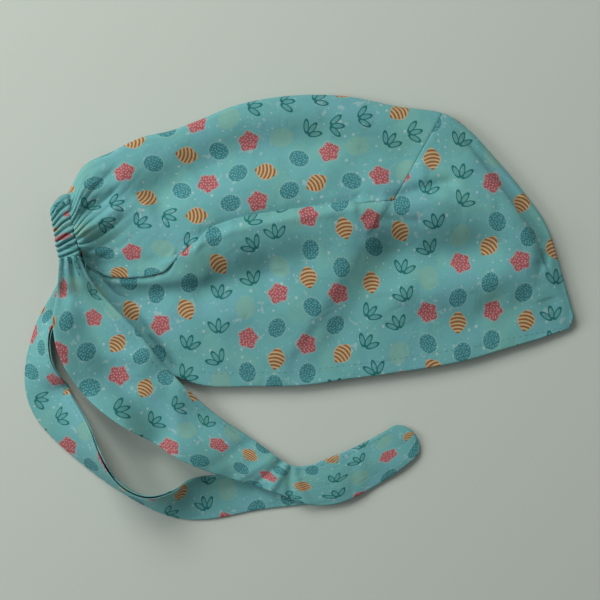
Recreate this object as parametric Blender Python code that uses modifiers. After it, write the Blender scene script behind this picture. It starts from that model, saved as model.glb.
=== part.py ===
"""A tie-back surgical scrub cap of printed cotton, laid flat on its side.

Metres, +Z up, the table at z = 0. The nape is at -X, the forehead at +X, the brim, where the head goes in,
opens towards -Y. The origin is under the middle of the whole cap with its ties.
"""

import math
from collections import namedtuple

import bmesh
import bpy
import numpy as np
from mathutils import Vector
from mathutils.bvhtree import BVHTree

# Driving sizes of the cap
CAP_LENGTH = 0.290  # nape edge to forehead fold, lying flat
CAP_HEIGHT = 0.161  # brim to the top of the crown, lying flat
PUFF = 0.0090  # how far the upper layer bulges above its edges
BULGE_SHAPE = 1.3  # above 1 the bulge starts softly at the brim and at the outline
FULL_FOLDS_FROM = 0.5  # share of PUFF from which the folds have their whole height
BRIM_GAP = 0.0090  # height of the upper brim edge over the lower layer
BRIM_SET_BACK = 0.0020  # how far the lower brim edge stays behind the upper one
TURN_RADIUS = 0.0042  # turn of the cloth round the outline
CLOTH = 0.0012  # wall of the crown and the band
SEAM_LAP = 0.0024  # how far crown and band pass over each other, to each side of their seam
LAP_RISE = 0.0096  # over this width a panel rises to lie over the other
SEAM_GAP = 0.0007  # between their edges where they meet side by side
LAP_STEP = 1.5  # height between the lapped panels, as a share of the least that keeps them apart
FOLD_HEIGHT = 0.0042  # height of the deepest fold
FOLD_WIDTH = 0.0060  # half width of a usual fold
CLEARANCE = 0.0004  # between pieces that touch

# Driving sizes of the nape casing
CASING_WALL = 0.0026
CASING_RIB = 0.0008  # height of a ruffle to each side
CASING_RIBS = 9  # ruffles on each side of its fold
RIB_SLANT = 0.6  # radians by which a ruffle shifts across the casing
PLAIN_END = 0.06  # share of the casing, at each end, over which the ruffles fade
CASING_TURN = 0.0058  # turn of the casing at the nape
CASING_SEAT = 0.0029  # height of its lower layer's middle over the table

# Driving sizes of the ties
TIE_CLOTH = 0.0018  # two layers of cloth
NEAR_TIE_LENGTH = 0.254
NEAR_TIE_WIDTH = 0.044
FAR_TIE_LENGTH = 0.275  # along its outer edge
FAR_TIE_WIDTH = 0.024
DRAPE_SLOPE = 0.9  # steepest fall of a tie beside what it lies on
DRAPE_LEVEL = 0.0070  # how far out from what it lies on a tie stays level
DRAPE_REACH = 0.014  # how far round a point the tie feels what lies under it

# Sections across the cap, from nape to forehead: brim edge, seam and top outline as shares of CAP_LENGTH and
# CAP_HEIGHT, then the bulge, the brim's gap and the turn as shares of PUFF, BRIM_GAP and TURN_RADIUS
Section = namedtuple("Section", "brim_x brim_y seam_x seam_y top_x top_y puff gap turn")
SECTIONS = [
    Section(0.068, 0.373, 0.064, 0.448, 0.064, 0.740, 0.20, 0.80, 1.30),
    Section(0.087, 0.312, 0.106, 0.394, 0.117, 0.798, 0.50, 0.75, 1.25),
    Section(0.117, 0.233, 0.163, 0.387, 0.174, 0.848, 0.75, 0.75, 1.15),
    Section(0.163, 0.144, 0.223, 0.408, 0.231, 0.872, 0.90, 0.80, 1.10),
    Section(0.223, 0.051, 0.280, 0.493, 0.292, 0.914, 1.00, 0.90, 1.05),
    Section(0.294, 0.003, 0.345, 0.545, 0.360, 0.962, 1.00, 1.00, 1.00),
    Section(0.379, 0.000, 0.426, 0.575, 0.455, 0.991, 1.00, 1.00, 1.00),
    Section(0.473, 0.003, 0.511, 0.596, 0.559, 0.990, 1.00, 1.00, 1.00),
    Section(0.559, 0.024, 0.587, 0.620, 0.659, 0.955, 1.00, 1.00, 1.00),
    Section(0.634, 0.041, 0.652, 0.630, 0.746, 0.932, 1.00, 1.00, 0.95),
    Section(0.710, 0.062, 0.725, 0.637, 0.795, 0.877, 0.95, 1.00, 0.90),
    Section(0.786, 0.087, 0.801, 0.616, 0.847, 0.777, 0.85, 0.95, 0.85),
    Section(0.858, 0.125, 0.867, 0.521, 0.898, 0.668, 0.65, 0.90, 0.80),
    Section(0.922, 0.159, 0.934, 0.401, 0.945, 0.545, 0.40, 0.80, 0.70),
    Section(0.966, 0.185, 0.973, 0.308, 0.979, 0.349, 0.15, 0.65, 0.62),
    Section(0.989, 0.197, 0.993, 0.216, 0.997, 0.240, 0.00, 0.52, 0.52),
]
FRONT_SEAM = 9  # the section where the crown ends and the band takes the whole cap

# Which panel lies over the other along their seam: 1 is crown over band, -1 is band over crown
Lap = namedtuple("Lap", "section over")
LAPS = [Lap(3.0, 1.0), Lap(4.333, -1.0), Lap(7.667, -1.0), Lap(8.333, 0.0)]

# Folds of the upper layer: a line as shares of CAP_LENGTH and CAP_HEIGHT, with its width and height as shares
# of FOLD_WIDTH and FOLD_HEIGHT; a negative height is a dent, and lines of one name are one bent fold
Fold = namedtuple("Fold", "name x0 y0 x1 y1 width height")
FOLDS = [
    Fold("band ridge", 0.325, 0.500, 0.430, 0.540, 0.9, 0.75),
    Fold("band ridge", 0.430, 0.540, 0.790, 0.600, 0.9, 0.60),
    Fold("rim trough", 0.230, 0.760, 0.340, 0.840, 1.6, -0.55),
    Fold("rim trough", 0.340, 0.840, 0.455, 0.905, 1.6, -0.60),
    Fold("rim trough", 0.455, 0.905, 0.600, 0.880, 1.6, -0.50),
    Fold("side pleat", 0.100, 0.330, 0.150, 0.325, 0.7, 0.50),
    Fold("side pleat", 0.150, 0.325, 0.285, 0.345, 0.7, 0.50),
    Fold("casing ridge", 0.066, 0.510, 0.127, 0.596, 0.9, 0.70),
    Fold("front pleat", 0.765, 0.830, 0.850, 0.655, 1.3, 0.60),
    Fold("front pleat", 0.850, 0.655, 0.912, 0.470, 1.2, 0.60),
    Fold("front pleat's shadow", 0.805, 0.825, 0.885, 0.655, 1.0, -0.55),
    Fold("front pleat's shadow", 0.885, 0.655, 0.935, 0.500, 1.0, -0.55),
    Fold("front dimple", 0.930, 0.425, 0.930, 0.420, 1.4, -0.60),
    Fold("valley over the brim", 0.490, 0.300, 0.425, 0.040, 2.0, -0.80),
    Fold("slack beside it", 0.600, 0.340, 0.550, 0.080, 2.4, 0.45),
    Fold("middle hollow", 0.720, 0.420, 0.690, 0.140, 2.6, -0.50),
    Fold("front slack", 0.850, 0.400, 0.820, 0.200, 2.2, 0.40),
]
PLEATS = 3.0  # gathers of the crown beside the casing, on each side of the fold
PLEAT_HEIGHT = 0.0016
PLEAT_LENGTH = 0.030  # how far the gathers run into the crown

# Casing, from its seam with the crown to its free edge: lower end and nape fold, as shares of CAP_LENGTH and
# CAP_HEIGHT
Channel = namedtuple("Channel", "end_x end_y top_x top_y")
CHANNELS = [
    Channel(0.0621, 0.418, 0.058, 0.737),
    Channel(0.042, 0.420, 0.032, 0.672),
    Channel(0.022, 0.424, 0.006, 0.622),
]

# Stations along a tie: place as a share of its length, heading in degrees, width as a share of its width, and
# the tilt in degrees by which its inner edge stands up
Station = namedtuple("Station", "place heading width tilt")
NEAR_TIE = [
    Station(0.00, -84, 0.28, 0),
    Station(0.03, -81, 0.38, 0),
    Station(0.07, -78, 0.56, 0),
    Station(0.12, -68, 0.78, 0),
    Station(0.18, -57, 0.95, 0),
    Station(0.24, -50, 1.00, 0),
    Station(0.30, -42, 0.93, 0),
    Station(0.37, -38, 0.82, 0),
    Station(0.45, -35, 0.70, 0),
    Station(0.54, -27, 0.60, 0),
    Station(0.64, -27, 0.44, 0),
    Station(0.69, -20, 0.37, 0),
    Station(0.74, -3, 0.46, 0),
    Station(0.79, 17, 0.52, 0),
    Station(0.85, 26, 0.49, 0),
    Station(0.93, 33, 0.42, 0),
    Station(0.98, 39, 0.34, 0),
    Station(1.00, 40, 0.24, 0),
]
FAR_TIE = [
    Station(0.00, -96, 0.50, 0),
    Station(0.05, -116, 0.55, 0),
    Station(0.10, -116, 0.62, 0),
    Station(0.15, -108, 0.66, 28),
    Station(0.19, -102, 0.78, 30),
    Station(0.235, -91, 0.95, 15),
    Station(0.28, -74, 1.00, 8),
    Station(0.34, -51, 1.00, 14),
    Station(0.40, -42, 1.00, 30),
    Station(0.47, -38, 1.00, 58),
    Station(0.54, -33, 1.00, 74),
    Station(0.60, -28, 1.00, 70),
    Station(0.65, -19, 1.00, 48),
    Station(0.69, -5, 1.00, 24),
    Station(0.74, 6, 0.98, 4),
    Station(0.79, 13, 0.95, 0),
    Station(0.86, 7, 0.90, 0),
    Station(0.94, 5, 0.85, 0),
    Station(1.00, 8, 0.60, 0),
]
NEAR_ROOT = (0.045, 0.413)  # where the near tie leaves the casing, as shares of CAP_LENGTH and CAP_HEIGHT
FAR_ROOT = (0.022, 0.405)  # outer edge of the far tie at the casing
ROOT_BLEND = 0.016  # the near tie comes down from the casing over this length

# Meshes: cells of each loft
COLUMNS_PER_SECTION = 3
BAND_ROWS = 10
CROWN_ROWS = 12
ROW_CROWDING = 1.6  # above 1 the rows of a panel stand closer together beside its seam
TURN_ROWS = 4
UNDER_CROWN_ROWS = 5
UNDER_BAND_ROWS = 4
CASING_COLUMNS = 5
ROWS_PER_RIB = 4
TIE_STEP = 0.0050
TIE_CELLS = 5
STEPS_BETWEEN = 8  # finer steps that add up a tie's path between its cells
RINGS_FELT = 5  # rings and spokes of the places round a point where a tie feels what lies under it
SPOKES_FELT = 12
TIMES_EASED = 2  # how often a draped tie's heights are evened out

# Cloth colours
CROWN_COLOUR = (0.18, 0.49, 0.50, 1.0)
BAND_COLOUR = (0.20, 0.53, 0.54, 1.0)
CASING_COLOUR = (0.12, 0.38, 0.40, 1.0)
TIE_COLOUR = (0.19, 0.50, 0.52, 1.0)


def between(rows, places, place):
    """The columns of a table at a place, on a smooth curve through its rows."""
    table = np.array(rows, dtype=float)
    i = int(np.clip(np.searchsorted(places, place, side="right") - 1, 0, len(places) - 2))
    span = places[i + 1] - places[i]
    a = (place - places[i]) / span
    before = max(i - 1, 0)
    after = min(i + 2, len(places) - 1)
    slope0 = (table[i + 1] - table[before]) / (places[i + 1] - places[before]) * span
    slope1 = (table[after] - table[i]) / (places[after] - places[i]) * span
    return (
        (2 * a**3 - 3 * a**2 + 1) * table[i]
        + (a**3 - 2 * a**2 + a) * slope0
        + (3 * a**2 - 2 * a**3) * table[i + 1]
        + (a**3 - a**2) * slope1
    )


def smooth_step(low, high, value):
    a = min(max((value - low) / (high - low), 0.0), 1.0)
    return a * a * (3 - 2 * a)


def plan(share_x, share_y):
    """A place on the table from its shares of the cap's length and height."""
    return np.array([share_x * CAP_LENGTH, share_y * CAP_HEIGHT])


def section_at(t):
    return Section(*between(SECTIONS, np.arange(len(SECTIONS)), t))


def relief(x, y):
    """Height of the folds of the upper layer at a place: of lines of one name the strongest counts."""
    heights = {}
    for fold in FOLDS:
        start = plan(fold.x0, fold.y0)
        run = plan(fold.x1, fold.y1) - start
        away = np.array([x, y]) - start
        along = min(max(float(away @ run) / float(run @ run), 0.0), 1.0)
        distance = np.linalg.norm(away - along * run)
        height = fold.height * FOLD_HEIGHT * math.exp(-((distance / (fold.width * FOLD_WIDTH)) ** 2))
        heights[fold.name] = max(height, heights.get(fold.name, 0.0), key=abs)
    return sum(heights.values())


def pleats(x, share):
    """Gathers beside the casing; share runs from 0 at the seam to 1 at the top outline."""
    start = SECTIONS[0].top_x * CAP_LENGTH
    fade = math.exp(-max(x - start, 0.0) / PLEAT_LENGTH)
    clear_of_seam = smooth_step(0.02, 0.20, share)
    return PLEAT_HEIGHT * fade * clear_of_seam * math.sin(2 * math.pi * PLEATS * share)


def cap_point(t, level, turn=0.0):
    """A point of the cap's cloth in section t, at mid wall.

    level 0 is the upper brim edge, 1 the seam, 2 the top outline, 3 the lower seam and 4 the lower brim edge;
    at level 2 turn goes from 0, above, to 1, below, round the outline.
    """
    row = section_at(t)
    brim = plan(row.brim_x, row.brim_y)
    seam = plan(row.seam_x, row.seam_y)
    top = plan(row.top_x, row.top_y)
    outward = (top - seam) / np.linalg.norm(top - seam)
    radius = row.turn * TURN_RADIUS
    top = top - outward * radius
    floor = CLOTH / 2
    if turn > 0:
        angle = math.pi * turn
        place = top + outward * radius * math.sin(angle)
        return Vector((*place, floor + radius * (1 + math.cos(angle))))
    if level > 3:
        inner = brim + (seam - brim) / np.linalg.norm(seam - brim) * BRIM_SET_BACK * row.gap
        return Vector((*(seam + (inner - seam) * (level - 3)), floor))
    if level > 2:
        return Vector((*(top + (seam - top) * (level - 2)), floor))
    place = brim + (seam - brim) * level if level <= 1 else seam + (top - seam) * (level - 1)
    lower = np.linalg.norm(seam - brim)
    upper = np.linalg.norm(top - seam)
    run = (lower * min(level, 1) + upper * max(level - 1, 0)) / (lower + upper)
    arch = math.sin(math.pi * min(max(run, 0.0), 1.0))
    edges = row.gap * BRIM_GAP * (1 - run) + 2 * radius * run
    bulge = row.puff * PUFF * arch**BULGE_SHAPE
    folds = relief(*place) * min(1.0, row.puff / FULL_FOLDS_FROM)
    gathers = pleats(place[0], level - 1) if level > 1 else 0.0
    return Vector((*place, floor + edges + bulge + (folds + gathers) * math.sqrt(arch)))


def lap_at(t):
    places = np.array([lap.section for lap in LAPS])
    return float(np.interp(t, places, [lap.over for lap in LAPS]))


def seam_shift(t):
    """How far a panel's edge passes the seam, in metres."""
    spread = max(abs(lap_at(t)) * 2 - 1, 0.0)
    return SEAM_LAP * spread - SEAM_GAP / 2 * (1 - spread)


def seam_lift(t, side, distance):
    """Height by which a panel lies over or under the other near their seam: side is 1 for the crown, -1 for
    the band."""
    step = (CLOTH + CLEARANCE) / 2 * LAP_STEP
    rise = min(max(lap_at(t) * 2, -1.0), 1.0)
    return side * rise * step * (1 - smooth_step(SEAM_LAP * 1.2, LAP_RISE, distance))


def panel_point(t, level, turn, side):
    """A point of the crown (side 1) or the band (side -1), with its share of the seam's lap."""
    row = section_at(t)
    seam = plan(row.seam_x, row.seam_y)
    upper = np.linalg.norm(plan(row.top_x, row.top_y) - seam)
    lower = np.linalg.norm(plan(row.brim_x, row.brim_y) - seam)
    own, other = (upper, lower) if side > 0 else (lower, upper)
    if turn > 0 or (t > FRONT_SEAM and side < 0):
        return cap_point(t, level, turn)
    if level > 2:
        away = abs(level - 3) * own
        moved = away + (1 - away / own) * CLEARANCE / 2
        return cap_point(t, 3 - side * moved / own)
    away = abs(level - 1) * own
    moved = away - (1 - away / own) * seam_shift(t)
    point = cap_point(t, 1 + side * moved / (own if moved > 0 else other))
    point.z += seam_lift(t, side, away)
    return point


def crowded(share):
    """Rows that stand closer at the start of a panel and at its end."""
    return share + (smooth_step(0, 1, share) - share) * (ROW_CROWDING - 1)


def level_rows(crown_only):
    """Levels of the loft's rows, each with its share of the turn."""
    rows = []
    if not crown_only:
        rows += [(1 - (1 - i / BAND_ROWS) ** ROW_CROWDING, 0.0) for i in range(BAND_ROWS)]
    rows += [(1 + crowded(i / CROWN_ROWS), 0.0) for i in range(CROWN_ROWS)]
    rows += [(2.0, i / TURN_ROWS) for i in range(TURN_ROWS)]
    rows += [(2.0, 1.0)]
    rows += [(2 + i / UNDER_CROWN_ROWS, 0.0) for i in range(1, UNDER_CROWN_ROWS + 1)]
    if not crown_only:
        rows += [(3 + i / UNDER_BAND_ROWS, 0.0) for i in range(1, UNDER_BAND_ROWS + 1)]
    return rows


def front_gap():
    """Half the opening of the front seam, in sections."""
    step = (cap_point(FRONT_SEAM, 1.5) - cap_point(FRONT_SEAM - 1, 1.5)).length
    return SEAM_GAP / 2 / step


def new_piece(name, mesh, wall, colour, roughness):
    """A sheet with its wall and its own cloth."""
    piece = bpy.data.objects.new(name, mesh)
    cloth = bpy.data.materials.new(name)
    cloth.use_nodes = True
    shader = cloth.node_tree.nodes["Principled BSDF"]
    shader.inputs["Base Color"].default_value = colour
    shader.inputs["Roughness"].default_value = roughness
    shader.inputs["Metallic"].default_value = 0.0
    mesh.materials.append(cloth)
    mesh.shade_smooth()
    solidify = piece.modifiers.new("Wall", "SOLIDIFY")
    solidify.thickness = wall
    solidify.offset = 0.0
    solidify.use_even_offset = True
    bpy.context.scene.collection.children["scrub_cap"].objects.link(piece)
    return piece


def grid_mesh(name, columns, rows, place, keep=None):
    """A sheet of columns by rows cells, each corner placed by place(column, row)."""
    sheet = bmesh.new()
    bmesh.ops.create_grid(sheet, x_segments=columns, y_segments=rows, size=1.0)
    sheet.verts.ensure_lookup_table()
    corners = {}
    for vert in sheet.verts:
        column = round((vert.co.x + 1) / 2 * columns)
        row = round((vert.co.y + 1) / 2 * rows)
        corners[vert] = (column, row)
    if keep:
        outside = [
            face
            for face in sheet.faces
            if not keep(min(corners[v][0] for v in face.verts), min(corners[v][1] for v in face.verts))
        ]
        bmesh.ops.delete(sheet, geom=outside, context="FACES")
    for vert in sheet.verts:
        vert.co = place(*corners[vert])
    bmesh.ops.recalc_face_normals(sheet, faces=sheet.faces)
    mesh = bpy.data.meshes.new(name)
    sheet.to_mesh(mesh)
    sheet.free()
    return mesh


def make_crown():
    rows = level_rows(True)
    columns = FRONT_SEAM * COLUMNS_PER_SECTION

    def place(column, row):
        t = column / columns * (FRONT_SEAM - front_gap())
        return panel_point(t, *rows[row], 1)

    mesh = grid_mesh("crown", columns, len(rows) - 1, place)
    return new_piece("crown", mesh, CLOTH, CROWN_COLOUR, 0.85)


def make_band():
    rows = level_rows(False)
    seam_column = FRONT_SEAM * COLUMNS_PER_SECTION
    columns = (len(SECTIONS) - 1) * COLUMNS_PER_SECTION
    last = len(SECTIONS) - 1
    upper_seam = rows.index((1.0, 0.0))
    lower_seam = rows.index((3.0, 0.0))
    start = FRONT_SEAM + front_gap()

    def place(column, row):
        if column < seam_column:
            t = column / COLUMNS_PER_SECTION
        else:
            t = start + (column - seam_column) / (columns - seam_column) * (last - start)
        return panel_point(t, *rows[row], -1)

    def keep(column, row):
        return column >= seam_column or row < upper_seam or row >= lower_seam

    mesh = grid_mesh("band", columns, len(rows) - 1, place, keep)
    return new_piece("band", mesh, CLOTH, BAND_COLOUR, 0.85)


def casing_point(across, share):
    """A point of the casing at mid wall: across 0 is its seam, 1 its free edge; share runs from its near end
    at 0 over the nape fold at 0.5 to its far end at 1."""
    channel = Channel(*between(CHANNELS, np.linspace(0, 1, len(CHANNELS)), across))
    end = plan(channel.end_x, channel.end_y)
    top = plan(channel.top_x, channel.top_y)
    outward = (top - end) / np.linalg.norm(top - end)
    flat = np.linalg.norm(top - end) - CASING_TURN
    arc = math.pi * CASING_TURN
    run = share * (2 * flat + arc)
    wave = CASING_RIB * math.sin(4 * math.pi * CASING_RIBS * share + RIB_SLANT * across)
    wave *= min(share, 1 - share, PLAIN_END) / PLAIN_END
    if run < flat:
        return Vector((*(end + outward * run), CASING_SEAT + 2 * CASING_TURN + wave))
    if run > flat + arc:
        return Vector((*(end + outward * (2 * flat + arc - run)), CASING_SEAT - wave))
    angle = (run - flat) / CASING_TURN
    bend = CASING_TURN + wave
    place = end + outward * (flat + bend * math.sin(angle))
    return Vector((*place, CASING_SEAT + CASING_TURN + bend * math.cos(angle)))


def make_casing():
    rows = 2 * CASING_RIBS * ROWS_PER_RIB

    def place(column, row):
        return casing_point(column / CASING_COLUMNS, row / rows)

    mesh = grid_mesh("casing", CASING_COLUMNS, rows, place)
    return new_piece("casing", mesh, CASING_WALL, CASING_COLOUR, 0.9)


def tie_path(stations, length):
    """Steps along a tie: plan place from its root, heading, width and tilt."""
    places = np.array([station.place for station in stations])
    count = round(length / TIE_STEP)
    step = length / count / STEPS_BETWEEN
    spot = np.zeros(2)
    steps = []
    for i in range(count * STEPS_BETWEEN + 1):
        station = Station(*between(stations, places, i / (count * STEPS_BETWEEN)))
        heading = math.radians(station.heading)
        if i % STEPS_BETWEEN == 0:
            steps.append((spot.copy(), heading, station.width, math.radians(max(station.tilt, 0.0))))
        spot += step * np.array([math.cos(heading), math.sin(heading)])
    return steps


def support_of(pieces):
    """A function that gives the height of the highest of the pieces, or of the table, at a place."""
    graph = bpy.context.evaluated_depsgraph_get()
    trees = [BVHTree.FromObject(piece, graph) for piece in pieces]
    high = Vector((0, 0, 1))

    def height(x, y):
        hits = [tree.ray_cast(Vector((x, y, 0)) + high, -high)[0] for tree in trees]
        return max([hit.z for hit in hits if hit] + [0.0])

    return height


def draped(height, x, y):
    """Height of a cloth that lies over what is below, without falling steeper than DRAPE_SLOPE."""
    best = height(x, y)
    for ring in range(1, RINGS_FELT + 1):
        for spoke in range(SPOKES_FELT):
            angle = 2 * math.pi * (spoke + ring / RINGS_FELT) / SPOKES_FELT
            away = ring / RINGS_FELT * DRAPE_REACH
            near = height(x + away * math.cos(angle), y + away * math.sin(angle))
            best = max(best, near - DRAPE_SLOPE * max(away - DRAPE_LEVEL, 0.0))
    return best


def eased(heights, times):
    """Heights on a grid, each set some times to the mean of itself and its neighbours."""
    for _ in range(times):
        wide = np.pad(heights, 1, mode="edge")
        heights = (wide[:-2, 1:-1] + wide[2:, 1:-1] + wide[1:-1, :-2] + wide[1:-1, 2:] + 2 * heights) / 6
    return heights


def make_far_tie():
    steps = tie_path(FAR_TIE, FAR_TIE_LENGTH)
    root = plan(*FAR_ROOT)

    def place(column, row):
        spot, heading, width, tilt = steps[column]
        lowest = TIE_CLOTH / 2 * (1 + math.sin(tilt) / 2)
        inward = np.array([-math.sin(heading), math.cos(heading)])
        across = row / TIE_CELLS * width * FAR_TIE_WIDTH
        where = root + spot + inward * across * math.cos(tilt)
        return Vector((where[0], where[1], lowest + across * math.sin(tilt)))

    mesh = grid_mesh("tie_far", len(steps) - 1, TIE_CELLS, place)
    return new_piece("tie_far", mesh, TIE_CLOTH, TIE_COLOUR, 0.85)


def make_near_tie(carriers):
    steps = tie_path(NEAR_TIE, NEAR_TIE_LENGTH)
    root = plan(*NEAR_ROOT)
    height = support_of(carriers)
    start = casing_point(0.5, 0.0).z
    run = NEAR_TIE_LENGTH / (len(steps) - 1)
    spots = np.zeros((len(steps), TIE_CELLS + 1, 2))
    lying = np.zeros((len(steps), TIE_CELLS + 1))
    for column, (spot, heading, width, _) in enumerate(steps):
        inward = np.array([-math.sin(heading), math.cos(heading)])
        for row in range(TIE_CELLS + 1):
            across = (row / TIE_CELLS - 0.5) * width * NEAR_TIE_WIDTH
            spots[column, row] = root + spot + inward * across
            lying[column, row] = draped(height, *spots[column, row])
    lying = eased(lying, TIMES_EASED) + CLEARANCE + TIE_CLOTH / 2

    def place(column, row):
        here = lying[column, row]
        sewn = start - max(start - here, 0.0) * smooth_step(0, ROOT_BLEND, column * run)
        return Vector((*spots[column, row], max(here, sewn)))

    mesh = grid_mesh("tie_near", len(steps) - 1, TIE_CELLS, place)
    return new_piece("tie_near", mesh, TIE_CLOTH, TIE_COLOUR, 0.85)


def stand_on_origin(pieces):
    """Parents the pieces to an empty that sets the middle of their box over the origin."""
    bpy.context.view_layer.update()
    graph = bpy.context.evaluated_depsgraph_get()
    corners = np.array([corner for piece in pieces for corner in piece.evaluated_get(graph).bound_box])
    low = corners.min(axis=0)
    high = corners.max(axis=0)
    centre = bpy.data.objects.new("cap_centre", None)
    bpy.context.scene.collection.children["scrub_cap"].objects.link(centre)
    centre.location = (-(low[0] + high[0]) / 2, -(low[1] + high[1]) / 2, -low[2])
    for piece in pieces:
        piece.parent = centre


def main():
    for thing in list(bpy.data.objects):
        bpy.data.objects.remove(thing)
    collection = bpy.data.collections.new("scrub_cap")
    bpy.context.scene.collection.children.link(collection)
    crown = make_crown()
    band = make_band()
    casing = make_casing()
    tie_far = make_far_tie()
    bpy.context.view_layer.update()
    tie_near = make_near_tie([crown, band, tie_far])
    stand_on_origin([crown, band, casing, tie_far, tie_near])


main()
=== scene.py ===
"""The looks of a tie-back surgical scrub cap: printed cotton, lying on its side on a pale table.

Metres, +Z up, the table at z = 0. The nape is at -X, the forehead at +X, and the brim opens towards -Y.
"""

import math
from collections import namedtuple

import bmesh
import bpy
import numpy as np
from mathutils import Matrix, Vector
from mathutils.bvhtree import BVHTree


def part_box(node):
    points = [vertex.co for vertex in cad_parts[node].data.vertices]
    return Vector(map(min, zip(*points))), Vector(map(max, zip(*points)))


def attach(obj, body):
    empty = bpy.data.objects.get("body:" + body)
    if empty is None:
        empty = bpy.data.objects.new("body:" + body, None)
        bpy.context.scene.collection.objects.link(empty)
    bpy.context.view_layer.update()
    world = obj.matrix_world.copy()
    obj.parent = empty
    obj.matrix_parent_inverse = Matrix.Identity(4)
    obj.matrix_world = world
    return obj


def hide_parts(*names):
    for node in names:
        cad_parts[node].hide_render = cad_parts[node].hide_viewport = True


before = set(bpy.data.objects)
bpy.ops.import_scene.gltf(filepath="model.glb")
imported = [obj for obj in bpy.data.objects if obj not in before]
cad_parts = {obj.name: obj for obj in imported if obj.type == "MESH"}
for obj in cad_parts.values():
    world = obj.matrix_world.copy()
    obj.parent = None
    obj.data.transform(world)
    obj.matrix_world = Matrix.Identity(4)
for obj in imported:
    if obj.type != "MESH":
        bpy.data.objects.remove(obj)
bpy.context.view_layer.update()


# The crown is the top panel of printed plain-weave cotton. It runs over the top fold to the far side, is
# gathered into the casing at the nape, and is sewn to the band along its lower and front edges, which turn
# under into the seam.
CAP_LENGTH = 0.290  # nape edge to forehead fold
CAP_HEIGHT = 0.161  # brim to the top of the crown
PUFF = 0.0076
BULGE_SHAPE = 1.3
BULGE_LEAN = 1.5  # above 1 the bulge stands nearer the top than the brim
FULL_FOLDS_FROM = 0.3
BRIM_GAP = 0.0054
BRIM_SET_BACK = 0.0020
TURN_RADIUS = 0.0042
LEAST_HOLLOW = 0.0020  # the least height of the near side's cloth over the far side's
COTTON = 0.0005  # one layer of the cloth
UNDERSIDE = 0.0004  # height of the far side's cloth over the table
SEAM_LAP = 0.0024
LAP_RISE = 0.0096
LAP_STEP = 0.0011
LAP_FLAT = 1.2 * SEAM_LAP  # how far from the seam the lap keeps its full height
LAP_START = 0.4  # of its spread, by which it has risen
SEAM_GAP = 0.0001
TUCK_RADIUS = 0.0008  # round of an edge that turns under
TUCK_BEND = 2.6  # radians through which it turns
TUCK_STEPS = 4
FOLD_HEIGHT = 0.0042
FOLD_WIDTH = 0.0060
FRONT_SEAM = 10  # the section where the crown ends
UNDER_CASING = -0.10  # the section where it starts, below the casing's edge
CROWN_COLUMNS = 150
CROWN_ROWS = 76
TURN_ROWS = 12
UNDER_CROWN_ROWS = 20
cap_corner = Vector((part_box("band")[1].x - CAP_LENGTH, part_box("band")[0].y, 0.0))

# Sections across the cap, from nape to forehead: shares of CAP_LENGTH, CAP_HEIGHT, PUFF, BRIM_GAP, TURN_RADIUS
Section = namedtuple("Section", "brim_x brim_y seam_x seam_y top_x top_y puff gap turn")
SECTIONS = [
    Section(0.068, 0.373, 0.064, 0.448, 0.0370, 0.664, 0.20, 0.80, 1.40),
    Section(0.076, 0.345, 0.080, 0.418, 0.066, 0.752, 0.35, 0.78, 1.35),
    Section(0.087, 0.312, 0.106, 0.394, 0.117, 0.798, 0.50, 0.75, 1.25),
    Section(0.117, 0.233, 0.163, 0.387, 0.174, 0.848, 0.75, 0.75, 1.15),
    Section(0.163, 0.144, 0.223, 0.408, 0.231, 0.872, 0.90, 0.80, 1.10),
    Section(0.223, 0.051, 0.280, 0.493, 0.292, 0.914, 1.00, 0.90, 1.05),
    Section(0.294, 0.003, 0.345, 0.545, 0.360, 0.962, 1.00, 1.00, 1.00),
    Section(0.379, 0.000, 0.426, 0.575, 0.455, 0.991, 1.00, 1.00, 1.00),
    Section(0.473, 0.003, 0.511, 0.596, 0.559, 0.990, 1.00, 1.00, 1.00),
    Section(0.559, 0.024, 0.587, 0.620, 0.659, 0.955, 1.00, 1.00, 1.00),
    Section(0.634, 0.041, 0.652, 0.630, 0.746, 0.932, 1.00, 1.00, 0.95),
    Section(0.710, 0.062, 0.725, 0.637, 0.795, 0.877, 0.95, 1.00, 0.90),
    Section(0.786, 0.087, 0.801, 0.616, 0.847, 0.777, 0.85, 0.95, 0.85),
    Section(0.858, 0.125, 0.867, 0.521, 0.898, 0.668, 0.65, 0.90, 0.80),
    Section(0.922, 0.159, 0.934, 0.401, 0.945, 0.545, 0.40, 0.80, 0.70),
    Section(0.966, 0.185, 0.973, 0.308, 0.979, 0.349, 0.15, 0.65, 0.62),
    Section(0.989, 0.197, 0.993, 0.216, 0.997, 0.240, 0.00, 0.52, 0.52),
]

# Which panel lies over the other along their seam: 1 is crown over band, -1 is band over crown
Lap = namedtuple("Lap", "section over")
LAPS = [Lap(4.0, 1.0), Lap(5.333, -1.0), Lap(8.667, -1.0), Lap(9.333, 0.0)]

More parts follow.
